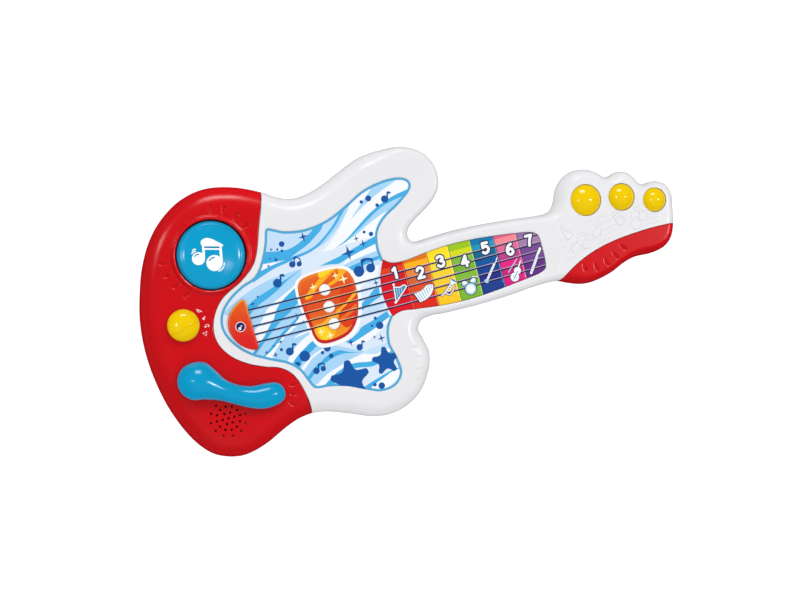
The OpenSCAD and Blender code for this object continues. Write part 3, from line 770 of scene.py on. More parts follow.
def draw_strings(art, low, high, dark, under=None, over=None):
    """The printed strings between two places, with a shadow below or a glint above each one."""
    for k in range(len(STRINGS)):
        path = string_path(k, low, high)
        if under:
            art.stroke(path - [0, 0.8], 1.2, under)
        if over:
            art.stroke(path + [0, 0.8], 0.7, over)
        art.stroke(path, 1.25, dark)


# Colours of the print
MID = ("mid_blue", 60, 174, 230)
LIGHT = ("light_blue", 168, 214, 248)
PALE = ("pale_blue", 219, 233, 250)
MIST = ("mist_blue", 196, 224, 250)
SNOW = ("white", 246, 249, 254)
EDGE = ("edge_blue", 78, 168, 214)
NAVY = ("navy", 22, 36, 82)
SHADE = ("string_shade", 120, 160, 205)
NOTE = ("note_blue", 0, 84, 166)
HALO = ("halo_white", 252, 252, 250)


def label_art():
    """The body label: waves of blue that run up to the right, with notes, dots, sparkles and two stars."""
    art = Print(PALE)

    def wave(top, bottom, colour):
        """The stretch between two edges, both given from left to right."""
        art.area(np.vstack([curve(top, 5, closed=False), curve(bottom[::-1], 5, closed=False)]), colour)

    # upper part, from the left edge to the tip of the horn
    big_top = [(-145, 55), (-133, 53), (-125, 51.5), (-115, 50.5), (-107, 52), (-100, 55), (-95, 57.5),
               (-88, 62), (-78, 72)]
    big_low = [(-152, 29), (-147, 31.1), (-140, 33.6), (-130, 36.8), (-120, 38.6), (-113, 39.8), (-105, 41.2),
               (-95, 43), (-85, 47), (-76, 53), (-67, 60), (-60, 67), (-54.5, 73), (-48, 82)]
    wave([(-145, 78), (-78, 78)], big_top, MIST)
    wave(big_top, big_low, MID)
    wave([(-142, 43.3), (-130, 42.5), (-119, 41.7)], [(-144, 37.4), (-130, 40.3), (-119, 41.7)], SNOW)
    wave([(-113, 43), (-105, 46.3), (-95, 50.4), (-87, 55.5), (-80, 60.5), (-74, 69)],
         [(-113, 43), (-105, 43.8), (-97, 45), (-88, 48), (-79, 53.5), (-70, 60.5), (-62, 68.5), (-55, 78)],
         MIST)
    wave([(-90, 44.6), (-85, 47), (-76, 53), (-67, 60), (-60, 67), (-54.5, 73), (-46, 84)],
         [(-90, 44.6), (-80, 47.5), (-70, 54), (-62, 60.5), (-54, 69), (-40, 84)], LIGHT)
    wave([(-84, 41), (-74, 47.5), (-64, 56.5), (-55, 67.5), (-40, 84), (0, 95), (16, 90)],
         [(-84, 41), (-73, 40), (-60, 42), (-42, 42), (-24, 44), (-10, 66), (16, 74)], SNOW)
    wave([(-51.5, 62.5), (-46, 67.5), (-40, 73), (-30, 81.5), (-22, 90)],
         [(-51.5, 62.5), (-42, 68.5), (-30, 75.4), (-18, 81), (-5, 86), (4, 90)], LIGHT)
    horn_low = [(-73, 40), (-60, 44.4), (-50, 50), (-40, 56), (-30, 62), (-20, 67), (-10, 70), (2, 72)]
    wave([(-73, 40), (-60, 46), (-50, 52.5), (-40, 59.4), (-30, 65.4), (-20, 70), (-10, 73.5), (0, 75.8),
          (14, 78)], horn_low, MID)
    wave([(-64, 42.8)] + horn_low[1:], [(-64, 42.8), (-50, 47.8), (-40, 52.8), (-30, 57.5), (-18, 61.5),
                                        (0, 64)], LIGHT)
    mid_low = [(-90, 28.5), (-80, 27.8), (-72, 26.4), (-65, 28.2), (-60, 29.9), (-50, 32.4), (-40, 34.5),
               (-26, 37.5)]
    wave([(-90, 28.5), (-80, 30.6), (-70, 32.7), (-60, 35.3), (-50, 38), (-40, 40.8), (-26, 44.6)], mid_low,
         MID)
    band_1 = [(-68, 24), (-60, 26), (-50, 27.4), (-40, 28.6), (-26, 30.2)]
    band_2 = [(-68, 20), (-63.5, 21), (-55, 22.5), (-47, 23.5), (-26, 24.8)]
    band_3 = [(-68, 15), (-60, 17.5), (-52, 19), (-45, 20), (-26, 22.6)]
    band_4 = [(-68, 10), (-62, 12), (-50, 13), (-40, 15.6), (-28, 18.5)]
    wave(mid_low[3:], band_1, SNOW)
    wave(band_1, band_2, LIGHT)
    wave(band_2, band_3, MID)
    wave(band_3, band_4, MIST)
    wave(band_4, [(-68, -6), (-50, 4), (-30, 8)], SNOW)
    # left part, between the bridge and the pickup
    m1_top = [(-178, 3), (-163, 10), (-155, 14), (-150, 16), (-140, 19.2), (-130, 22.5), (-120, 25.4),
              (-106, 30.5)]
    m1_low = [(-178, -7), (-163, 1.5), (-155, 6.6), (-150, 9.3), (-140, 13.3), (-130, 18.3), (-122, 23),
              (-106, 30.5)]
    w2_top = [(-178, -24), (-161.5, -13), (-154, -7), (-146.5, 2), (-140, 6.3), (-130, 10.8), (-120, 15.5),
              (-110, 21)]
    m3_top = [(-170, -34), (-160, -25), (-154, -20), (-148, -13), (-142, -7), (-138, 0), (-133, 5),
              (-127, 9.2), (-117.5, 14.5), (-110, 18)]
    m3_low = [(-170, -37), (-161, -30), (-156, -26), (-150, -21), (-145, -17), (-138, -12), (-132, -8),
              (-126, -5), (-117.5, 1), (-110, 5)]
    m4_top = [(-166, -42), (-156, -35), (-148, -29), (-140, -22.5), (-133, -18), (-124, -13), (-116, -8.5)]
    m4_low = [(-166, -44), (-158, -38), (-152, -35), (-145, -30), (-137, -24), (-130, -19.5), (-123, -15),
              (-116, -8.5)]
    w4_low = [(-160, -48), (-153, -42), (-150, -38), (-145, -33), (-138, -27), (-130, -22), (-120, -17),
              (-108, -11)]
    w5_top = [(-144, -54), (-139, -47), (-136, -43), (-130, -37.5), (-122, -32.5), (-116, -30), (-104, -26)]
    m5_top = [(-142, -57), (-134, -49), (-128, -44), (-121, -40), (-115, -36.5), (-104, -32)]
    m5_low = [(-136, -62), (-128, -53), (-122, -47.5), (-116, -44.5), (-110.5, -41.3), (-98, -36)]
    w6_top = [(-134, -62), (-128, -56), (-120, -50.5), (-113, -47), (-106, -45), (-94, -41)]
    w6_low = [(-132, -64), (-127, -59.5), (-122, -55), (-117, -51), (-110, -48), (-96, -44)]
    m6_top = [(-132, -72), (-124, -65), (-118, -60), (-110, -56), (-105, -53), (-97, -50.5), (-91, -50.2),
              (-87, -52), (-80, -55), (-68, -57.6)]
    m6_low = [(-132, -76), (-123.5, -69), (-113, -61), (-105, -57.7), (-97, -55), (-90, -54.1), (-85, -54.6),
              (-80, -55.7), (-68, -57.6)]
    wave([(-186, 9), (-172, 16.5), (-160, 21.6), (-150, 25), (-140, 27.5), (-130, 29), (-106, 30.5)], m1_top,
         LIGHT)
    wave(m1_top, m1_low, MID)
    wave(m1_low, w2_top, LIGHT)
    wave(w2_top, m3_top, SNOW)
    wave(m3_top, m3_low, MID)
    wave(m3_low, m4_top, LIGHT)
    wave(m4_low, w4_low, SNOW)
    wave(m4_top, m4_low, MID)
    wave(w4_low, w5_top, LIGHT)
    wave([(-130, -29.2), (-123, -26.6), (-112, -25)], [(-130, -29.2), (-123, -28.2), (-112, -26.6)], SNOW)
    wave(w5_top, m5_top, SNOW)
    wave(m5_top, m5_low, MID)
    wave(m5_low, w6_top, LIGHT)
    wave(w6_top, w6_low, SNOW)
    wave(w6_low, m6_top, LIGHT)
    # lower part
    w7_top = [(-130, -80), (-120, -75.5), (-113, -71.5), (-105, -67.5), (-95, -64.5), (-84, -61),
              (-68, -58.5)]
    m9_top = [(-118, -82), (-110, -76), (-100, -70), (-93, -67.3), (-87, -65.5), (-82, -65.2), (-76, -65.7),
              (-69, -67.2), (-63, -67.5), (-55, -66), (-47, -63.8), (-36, -60.5)]
    wave(m6_low, w7_top, LIGHT)
    wave(m6_top, m6_low, MID)
    wave(w7_top, m9_top, SNOW)
    wave([(-74, -58), (-60, -56), (-50, -55), (-36, -52.5)], [(-74, -58), (-60, -62), (-50, -61), (-36, -57)],
         MIST)
    wave(m9_top, [(-118, -84), (-104, -79), (-90, -71), (-80, -70), (-67, -72.3), (-60, -71.7), (-50, -68),
                  (-44, -65.6), (-34, -64.5)], MID)
    m10_low = [(-78, -96), (-70, -90.3), (-62, -87), (-55, -84.3), (-48, -81.8), (-34, -80.4)]
    wave([(-78, -89), (-70, -86.2), (-62, -84), (-55, -82), (-47, -80.3), (-34, -79.6)], m10_low, MID)
    wave(m10_low, [(-70, -99), (-58, -96), (-46, -90), (-34, -84)], SNOW)
    m7_low = [(-84, -44.3), (-78, -46.5), (-70, -44.5), (-60, -41.3), (-50, -37.6), (-43, -34.2), (-31, -30)]
    wave([(-84, -44.3), (-78, -42.8), (-70, -38.5), (-66, -35), (-55, -32), (-45, -28.5), (-31, -24.4)],
         m7_low, MID)
    wave(m7_low, [(-84, -44.3), (-74, -49), (-62, -48), (-52, -43.5), (-42, -37.5), (-32, -33)], SNOW)
    wave([(-66, -21), (-60, -14), (-52, -9), (-46, -4.5), (-34, -1)],
         [(-66, -21), (-60, -20), (-55, -17.5), (-48, -14.5), (-34, -10)], MID)
    wave([(-66, -24), (-55, -20), (-34, -14)], [(-66, -26), (-52, -26), (-34, -20)], MIST)
    # the mid-blue border line
    label = curve(LABEL_OUTLINE)
    art.band(label, LABEL_BORDER, EDGE)
    for x, y, r in [(-118.2, 56.6, 2.6), (-123.3, 52.8, 1), (-119.5, 50.6, 1.3), (-41.8, 48.7, 1.4),
                    (-36, 45.4, 2.1), (-37.4, 76, 1.6), (-30.3, 77.6, 2.8), (-23.8, 69.6, 1.7),
                    (-142.5, -36, 1.5), (-123.3, -47.2, 4.9), (-106.8, -48.3, 1.6), (-99.8, -53.2, 2.2),
                    (-49.2, -37.8, 3.5), (-51.5, -30.4, 1.5), (-56.3, -36.3, 1.1), (-67.2, -89.3, 1.7),
                    (-61.3, -91.9, 3.1), (-151.2, 15.9, 0.9)]:
        art.disc((x, y), r, NOTE)
    art.blob([(-105.2, -44.5, 0), (-98, -44.5, 0), (-99, -47.5), (-101.5, -48.7), (-104, -47.5)], NOTE)
    art.blob([(-133.5, -51.2), (-130.5, -50.7), (-128.8, -53), (-130, -55, 0)], NOTE)
    for x, y, r in [(-97.5, 58.2, 4.4), (-128.8, 54.2, 1.9), (-132, 46.2, 1.5), (-126.8, 44.2, 2.6),
                    (-134.8, 40.3, 1.9), (-60.7, 33.8, 6.4), (-50.4, 44.6, 2.8), (-45.3, 38.8, 3.4),
                    (-42.8, 0.9, 3), (-157.4, 10.6, 2.4), (-121.4, -10.2, 3.2), (-156, -35, 2.2),
                    (-148.8, -39.2, 2.8), (-148.5, -31, 1.5), (-141.5, -29, 2.4), (-79, -45.9, 3.4),
                    (-56.8, -46.8, 1.9), (-50.6, -49.6, 3.6)]:
        sparkle(art, (x, y), r, NOTE, 2)
    for x, y, r in [(-130.9, 23.3, 4), (-15.6, 73.4, 3.4), (-135.5, -39.6, 3.7), (-72.3, -52.4, 3)]:
        single_note(art, (x, y), r, NOTE)
    for one, r1, two, r2 in [((-113.4, 36.4), 3, (-107.2, 35.2), 2.4),
                             ((-116.3, -63), 3, (-109.8, -62.6), 2.5), ((-55.6, 15), 5, (-44.2, 15.3), 4.2)]:
        note_pair(art, one, r1, two, r2, NOTE)
    star(art, (-88, -79.5), 18.6, NOTE, -3)
    star(art, (-51.8, -70.6), 13, NOTE, -3)
    halo = curve([(x + (x + 88) * 0.11, y + (y + 8) * 0.09) for x, y in PICKUP_OUTLINE])
    art.area(halo, HALO)
    draw_strings(art, STRING_FROM, -29, NAVY, SHADE)
    return art


# ---------------------------------------------------------------- shells


def body_width(p):
    """Width of the white shell's rounded rim: wide on the body, narrow on the neck, middling on the head."""
    x = p[:, 0]
    on_neck = smoothstep(x, -22, 8)
    on_head = smoothstep(x, 118, 142)
    return 15 + (6.5 - 15) * on_neck + (9.5 - 6.5) * on_head


def teardrop(spot, length, width, angle):
    """A leaf shape: round at one end, pointed at the other, lying along the given direction to its point."""
    h, w = length / 2, width / 2
    points = [(h, 0), (h * 0.8, w * 0.42), (h * 0.2, w * 0.8), (-h * 0.4, w), (-h * 0.88, w * 0.6), (-h, 0),
              (-h * 0.88, -w * 0.6), (-h * 0.4, -w), (h * 0.2, -w * 0.8), (h * 0.8, -w * 0.42)]
    loop = curve(points, 3)
    return clockwise(turned(loop, angle) + np.array(spot, float))


BUTTON_LEAVES = [(-173, 103), (-161, 99), (-152, 90), (-145, 80), (-225, 65), (-224, 54), (-219, 43),
                 (-212, 33)]
WAIST_LEAVES = [(-140.5, -70.3, 182), (-141.5, -78.6, 165), (-145.5, -86.5, 140)]
HEAD_LEAVES = [(155, -36, 100), (166, -38, 100), (177, -36, 108), (187, -32, 118), (196.5, -26.5, 128)]
HORN_LEAVES = [(-23, -66.5, 185), (-22, -76, 175), (-23, -86.5, 163), (-27, -96, 150)]


def leaves(places, length, width):
    """Leaf marks at (x, y, way of the point); without a way they point at the big button."""
    marks = []
    for x, y, *way in places:
        angle = way[0] if way else math.degrees(math.atan2(BIG_SPOT[1] - y, BIG_SPOT[0] - x))
        marks.append(teardrop((x, y), length, width, angle))
    return marks


def gap_ahead(p, loop, way):
    """How far it is from each point to the loop along a direction."""
    across = np.array([-way[1], way[0]])
    x, y = p @ way, p @ across
    ax, ay = loop @ way, loop @ across
    bx, by = np.roll(ax, -1), np.roll(ay, -1)
    rise = np.where(by == ay, 1e-12, by - ay)
    crosses = (ay > y[:, None]) != (by > y[:, None])
    gap = ax + (y[:, None] - ay) * (bx - ax) / rise - x[:, None]
    return np.where(crosses & (gap > 0), gap, 50).min(1)


SCOOP_WAY = np.array([0.738, 0.675])


def dents(points, marks, depth):
    """Leaf-shaped scoops: a long ramp down from the upper right and a short wall at the lower left."""
    drop = np.zeros(len(points))
    for loop in marks:
        near = np.flatnonzero(((points > loop.min(0)) & (points < loop.max(0))).all(1))
        hit = near[inside(points[near], loop)] if len(near) else near
        if len(hit):
            d = distance(points[hit], loop)
            wall = np.where(d < 0.75, 0.5 * d, 0.375 + 1.6 * (d - 0.75))
            ramp = 0.45 * gap_ahead(points[hit], loop, SCOOP_WAY)
            drop[hit] = np.minimum(np.minimum(wall, ramp), depth)
    return drop


def add_marks(plan, marks):
    """The outline of every dent, with rows of dots down its wall and one row around it."""
    for loop in marks:
        plan.line(loop)
        plan.rings(loop, [0.25, 0.55, 0.9, 1.25, 1.6, 1.95], gap=0.2)
        plan.rings(loop, [0.8], inner=False, gap=0.5)


def staff_lines():
    """The five lines of the staff on the head, which run closer to each other to the right."""
    return [curve([(143, 2 - 7 * k), (165, 5 - 6.3 * k), (190, 6.6 - 5.6 * k), (214, 8 - 5 * k),
                   (243, 6.5 - 4.4 * k)], 8, closed=False) for k in range(5)]


# Raised notes on the head: the middle and radius of each note's head, and the stems
RELIEF_HEADS = [((151, -3.4), 3.9), ((155.6, -17), 5), ((166, -15.8), 4), ((178.5, -8), 3.9),
                ((204, -2.4), 4.3), ((218.8, -9.4), 5), ((227, -3.4), 4)]
RELIEF_STEMS = [
    [(148, -0.5), (146.5, 5), (149.5, 7)], [(158.5, -13.5), (160, -6.5), (167.5, -7), (169.2, -13)],
    [(181, -5.4), (181.5, 1.5)], [(200.6, 0.5), (199, 5), (203, 6)],
    [(217.5, -4.8), (217.5, 1.5), (222, 4.5), (226, 1)],
]
STEM_HALF = 1.3
STAFF_RISE = 0.38
NOTE_RISE = 0.32
GROOVE_DEPTH = 0.5
GROOVE_HALF = 0.42
RELIEF_SHIFT = np.array([-4.5, 0.6])


def relief_field(p):
    """How far inside the union of the raised notes each point is; less than 0 outside."""
    field = np.full(len(p), -9.0)
    for spot, r in RELIEF_HEADS:
        field = np.maximum(field, r - far_from(p, spot))
    for stem in RELIEF_STEMS:
        field = np.maximum(field, STEM_HALF - distance(p, curve(stem, 5, closed=False), closed=False))
    return field


def on_staff(points, start):
    """True in the part of the head, from `start` on, that carries the staff and its notes."""
    return (points[:, 0] > start) & (points[:, 1] < 14) & (points[:, 1] > -32)


def relief(points):
    """The faint raised staff and notes on the white head, each note with a fine groove round it."""
    up = np.zeros(len(points))
    near = np.flatnonzero(on_staff(points, 134))
    if not len(near):
        return up
    p = points[near] - RELIEF_SHIFT
    lines = np.zeros(len(p))
    for line in staff_lines():
        lines = np.maximum(lines, STAFF_RISE * smoothstep(0.8 - distance(p, line, closed=False), 0, 0.5))
    field = relief_field(p)
    notes = NOTE_RISE * smoothstep(field, 0, 0.5) - GROOVE_DEPTH * np.exp(-(field / GROOVE_HALF) ** 2)
    up[near] = np.where(field > -1, notes, lines)
    return up


def relief_dots():
    """Extra mesh points along the outlines of the raised notes."""
    steps = (-0.8, -0.4, 0, 0.4, 0.8)
    rows = [circle(spot, r + d, 44) for spot, r in RELIEF_HEADS for d in steps]
    for stem in RELIEF_STEMS:
        line = resampled(curve(stem, 8, closed=False), 0.6, closed=False)
        rows += [stroke_outline(line, 2 * STEM_HALF + 2 * d) for d in steps]
    dots = np.vstack(rows)
    field = relief_field(dots)
    return dots[np.abs(field) < 0.9] + RELIEF_SHIFT


def regions():
    """The closed outlines and open seams that several pieces share."""
    return {
        "body": clockwise(resampled(curve(BODY_OUTLINE, 8), 1.7)),
        "seam": resampled(curve(BODY_SEAM, 10, closed=False), 1.6, closed=False),
        "head_seam": resampled(curve(HEAD_SEAM, 10, closed=False), 1.6, closed=False),
        "label": clockwise(curve(LABEL_OUTLINE, 8)),
        "keys": clockwise(curve(KEY_FIELD, 8)),
    }


# Far corners that close the red side of each seam's edge into a loop
BODY_FAR = [(-400, -130), (-400, 128)]
HEAD_FAR = [(266, -90), (126, -90)]
SEAM_HALF = 0.28
LIP = 3.0
RED_RIM = 21.0
HEAD_RED_RIM = 8.0


def red_side(points, edge, far):
    """True on the red side of a seam's edge."""
    return inside(points, np.vstack([edge, far]))


def seam_edges(seam):
    """The two edges of the narrow gap that runs along a seam."""
    side = normals(seam, closed=False) * SEAM_HALF
    return seam - side, seam + side


def seam_dots(plan, seam):
    """Rows of dots along the red side of a seam."""
    for gap in (0.35, 0.8, 1.5):
        plan.dots(seam + normals(seam, False) * (SEAM_HALF + gap), 0.3)


def in_box(points, low, high):
    """True for the points inside an upright box."""
    return ((points >= low) & (points <= high)).all(1)


def down_to_parting(body, height):
    """Walls that reach the parting line on the outline, and a short lip everywhere else."""
    return lambda p: np.where(distance(p, body) < 0.05, PART_Z, height(p) - LIP)


def white_top(p, maps):
    """Height of the white face: it swells between its outer edge and the print."""
    e = np.minimum(distance(p, maps["label"]), distance(p, maps["keys"]))
    s = np.minimum(distance(p, maps["seam"], False), distance(p, maps["head_seam"], False))
    slim = 1 - 0.45 * smoothstep(p[:, 0], 100, 140)
    swell = (1.0 * rim(e, 5, 2) + 1.1 * smoothstep(np.minimum(e, s), 4, 18)) * slim
    d = distance(p, maps["body"])
    top = FACE_Z + swell
    z = PART_Z + (top - PART_Z) * rim(d, body_width(p), 2.15)
    lip = 0.5 * (1 - rim(s, 0.7, 2))
    return z - lip


def front_shell(maps):
    plan = Plan()
    body = maps["body"]
    red_edge, head_edge = seam_edges(maps["seam"]), seam_edges(maps["head_seam"])
    plan.line(body)
    plan.lines_of(*red_edge, *head_edge, closed=False)
    plan.lines_of(maps["label"], maps["keys"])
    holes = [circle(s, r + 0.45, 64) for s, r in zip(HEAD_SPOTS, HEAD_RADII)]
    for hole in holes:
        plan.line(hole)
        plan.rings(clockwise(hole), [0.5, 1.2, 2.2], inner=False)
    marks = leaves(HORN_LEAVES, 9.5, 3.4)
    add_marks(plan, marks)
    for name in ("label", "keys"):
        plan.rings(maps[name], [0.5, 1.2, 2.2, 3.6, 5], inner=False)
    plan.rings(body, rim_depths(), body_width, gap=0.3, pick=in_box(body, (-150, -140), (270, 140)))
    step = 2.6

    def white_area(p):
        return within(p, body, (maps["label"], maps["keys"]))

    def open_field(p):
        return white_area(p) & (distance(p, body) > body_width(p) + 0.8)

    plan.dots(relief_dots(), 0.35)
    plan.grid((134, -32), (248, 13), 0.9, gap=0.35, where=open_field)
    plan.grid((-150, -125), (262, 122), step, gap=step * 0.5,
              where=lambda p: open_field(p) & ~on_staff(p, 133))

    def keep(p):
        q = white_area(p)
        for edges, far in ((red_edge, BODY_FAR), (head_edge, HEAD_FAR)):
            q &= ~red_side(p, edges[0], far) & ~red_side(p, edges[1], far)
        for hole in holes:
            q &= ~inside(p, hole)
        return q

    def height(p):
        return white_top(p, maps) - dents(p, marks, 0.8) + relief(p)

    return sheet("front_shell_skin", plan, keep, height, [white_plastic()],
                 skirt=down_to_parting(body, height))


def sound_hole_spots():
    """The middle of every sound hole: one in the centre and rings around it."""
    spots = [SPEAKER_SPOT]
    for count, r in SOUND_RINGS:
        for k in range(count):
            a = 2 * math.pi * k / count
            spots.append((SPEAKER_SPOT[0] + r * math.cos(a), SPEAKER_SPOT[1] + r * math.sin(a)))
    return spots


# Radii of the rows of dots across the raised ring around the big button
RING_ROWS = [32.4, 32.9, 33.5, 34.1, 34.7, 35.2, 35.6, 36.2, 37.2]


def body_cover(maps):
    plan = Plan()
    body, seam = maps["body"], maps["seam"]
    edges = seam_edges(seam)
    well = circle(BIG_SPOT, WELL_R, 96)
    plan.line(body)
    plan.lines_of(*edges, closed=False)
    plan.line(well)
    for r in RING_ROWS:
        plan.dots(circle(BIG_SPOT, r, 110), 0.2)
    holes = [circle(s, HOLE_R, 12) for s in sound_hole_spots()]
    plan.lines_of(*holes)
    marks = leaves(BUTTON_LEAVES, 9.5, 4.2) + leaves(WAIST_LEAVES, 8.5, 3.8)
    add_marks(plan, marks)
    plan.rings(body, rim_depths(), RED_RIM, gap=0.3, pick=in_box(body, (-270, -140), (-110, 140)))
    seam_dots(plan, seam)
    plan.grid((-262, -125), (-110, 124), 2.6,
              where=lambda p: inside(p, body) & (distance(p, body) > RED_RIM + 0.5)
              & red_side(p, seam, BODY_FAR) & (far_from(p, BIG_SPOT) > RING_ROWS[-1] + 1.3))

    def keep(p):
        on_red = red_side(p, edges[0], BODY_FAR) & red_side(p, edges[1], BODY_FAR)
        return within(p, body, [well] + holes) & on_red

    def height(p):
        z = PART_Z + (COVER_Z - PART_Z) * rim(distance(p, body), RED_RIM, 2.3)
        z -= 0.5 * (1 - rim(distance(p, seam, False), 0.8, 2))
        z += RING_RISE * np.sqrt(np.clip(1 - ((far_from(p, BIG_SPOT) - RING_R) / RING_HALF) ** 2, 0, 1))
        return z - dents(p, marks, RED_DENT)

    def skirt(p):
        wall = down_to_parting(body, height)(p)
        return np.where(far_from(p, BIG_SPOT) < WELL_R + 0.1, WELL_WALL_Z, wall)

    return sheet("body_cover_skin", plan, keep, height, [red_plastic()], skirt=skirt)


def head_cover(maps):
    plan = Plan()
    body, seam = maps["body"], maps["head_seam"]
    edges = seam_edges(seam)
    plan.line(body)
    plan.lines_of(*edges, closed=False)
    marks = leaves(HEAD_LEAVES, 9.5, 4)
    add_marks(plan, marks)
    plan.rings(body, rim_depths(), HEAD_RED_RIM, gap=0.3, pick=in_box(body, (120, -60), (262, -12)))
    seam_dots(plan, seam)
    plan.grid((120, -60), (262, -10), 2.2,
              where=lambda p: inside(p, body) & (distance(p, body) > HEAD_RED_RIM + 0.6)
              & red_side(p, seam, HEAD_FAR))

    def keep(p):
        return inside(p, body) & red_side(p, edges[0], HEAD_FAR) & red_side(p, edges[1], HEAD_FAR)

    def height(p):
        z = PART_Z + (HEAD_COVER_Z - PART_Z) * rim(distance(p, body), HEAD_RED_RIM, 2.2)
        z -= 0.45 * (1 - rim(distance(p, seam, False), 0.7, 2))
        return z - dents(p, marks, RED_DENT)

    return sheet("head_cover_skin", plan, keep, height, [red_plastic()], skirt=down_to_parting(body, height))


def back_width(p):
    """Width of the back's rounded rim: wide on the body, narrow on the neck and head."""
    return 13.0 - 6.0 * smoothstep(p[:, 0], -16, 4)


def back_shell(maps):
    plan = Plan()
    body = maps["body"]
    plan.line(body)
    half = np.array([DOOR_HALF_X, DOOR_HALF_Y])
    corners = np.array([(-1, -1), (-1, 1), (1, 1), (1, -1)], float)
    door = resampled(np.array(BATTERY_SPOT, float) + corners * half, 2.0)
    tab = circle((BATTERY_SPOT[0] + 33, BATTERY_SPOT[1]), 5.8, 40)
    plan.lines_of(door, tab)
    screw_ways = [circle(s, SCREW_WAY_R, 32) for s in SCREW_SPOTS]
    for way in screw_ways:
        plan.line(way)
        plan.rings(clockwise(way), [0.4, 1.0], inner=False)
    plan.rings(body, rim_depths(2.0), back_width, gap=0.3)
    plan.columns(np.arange(NECK_STEP_FROM, NECK_STEP_TO + 1, 1.7), -70, 31, 1.8, 0.5)
    plan.grid((-262, -125), (262, 124), 3.2,
              where=lambda p: inside(p, body) & (distance(p, body) > back_width(p) + 0.8))

    def height(p):
        thin = smoothstep(p[:, 0], NECK_STEP_FROM, NECK_STEP_TO) * smoothstep(37 - p[:, 1], 0, 10)
        thin = np.maximum(thin, smoothstep(p[:, 0], 115, 125))
        return PART_Z - (PART_Z - NECK_BACK_Z * thin) * rim(distance(p, body), back_width(p), 2.0)

    def skirt(p):
        in_door = (np.abs(p[:, 0] - BATTERY_SPOT[0]) < 40) & (np.abs(p[:, 1] - BATTERY_SPOT[1]) < 30)
        wall = height(p) + np.where(in_door, 1.6, 8)
        return np.where(distance(p, body) < 0.05, PART_Z, wall)

    return sheet("back_shell_skin", plan, lambda p: within(p, body, [door, tab] + screw_ways), height,
                 [white_plastic()], skirt=skirt, down=True)


# ---------------------------------------------------------------- printed plates and keys


def light_holes(sides):
    return [circle(s, LIGHT_R + 0.2, sides) for s in LIGHT_SPOTS]


def label(maps):
    art = label_art()
    plan = Plan()
    loop, keys = maps["label"], maps["keys"]
    plan.line(loop)
    low, high = loop.min(0), loop.max(0)
    art.lay(plan, low, high)
    border = loop + normals(loop) * LABEL_BORDER
    plan.line(border[distance(border, loop) > LABEL_BORDER - 0.05])
    holes = light_holes(32)
    plan.lines_of(*holes)
    plan.grid(low, high, 6.0, gap=1.5)

    def paint(mid):
        index = art.pick(mid)
        edge = art.number(EDGE)
        beside_keys = (index == edge) & (distance(mid, keys) < 2.2) & (mid[:, 1] < 18) & (mid[:, 1] > -32)
        index[beside_keys] = art.number(PALE)
        return index

    return sheet("body_label_print", plan, lambda p: within(p, loop, [keys] + holes), flat_at(LABEL_Z),
                 [ink(*c) for c in art.inks], paint=paint, solid=LABEL_Z - 0.4)


KEY_INKS = [
    # top band, second band, below string 1, below string 2, below string 3, below string 4, bottom, glow: a
    # painted highlight strip down the key's right edge
    [(216, 8, 14), (232, 62, 22), (214, 24, 30), (220, 6, 30), (220, 4, 32), (216, 2, 34), (228, 0, 28),
     (238, 92, 50)],
    [(231, 117, 0), (255, 182, 16), (232, 134, 56), (216, 100, 50), (230, 78, 24), (226, 52, 24),
     (227, 36, 18), (246, 160, 70)],
    [(255, 224, 36), (254, 232, 14), (246, 222, 60), (248, 212, 46), (248, 208, 42), (248, 200, 34),
     (255, 202, 24), (255, 240, 110)],
    [(156, 200, 24), (213, 221, 10), (130, 186, 62), (122, 180, 52), (132, 190, 50), (124, 184, 50),
     (124, 186, 50), (190, 222, 110)],
    [(0, 120, 180), (22, 152, 186), (0, 104, 148), (0, 86, 160), (12, 66, 150), (34, 46, 136), (26, 62, 146),
     (80, 150, 200)],
    [(230, 92, 140), (247, 138, 146), (224, 106, 150), (186, 62, 136), (228, 30, 134), (204, 26, 122),
     (228, 10, 130), (246, 150, 186)],
    [(140, 104, 164), (150, 112, 166), (168, 128, 172), (118, 72, 148), (120, 66, 148), (98, 44, 134),
     (98, 44, 136), (160, 110, 180)],
]


def key_bands(art, i, x0, x1):
    """The stripes of colour that a key shows between the strings."""
    x = np.linspace(x0 - 3, x1 + 3, 8)
    sag = string_sag(x)
    levels = [11.2] + STRINGS + [-45]
    for high, low, name, tone in zip(levels, levels[1:], "bcdefg", KEY_INKS[i][1:7]):
        loop = np.vstack([np.stack([x, low + sag], 1), np.stack([x, high + sag], 1)[::-1]])
        art.area(loop, ("key%d_%s" % (i + 1, name),) + tone)


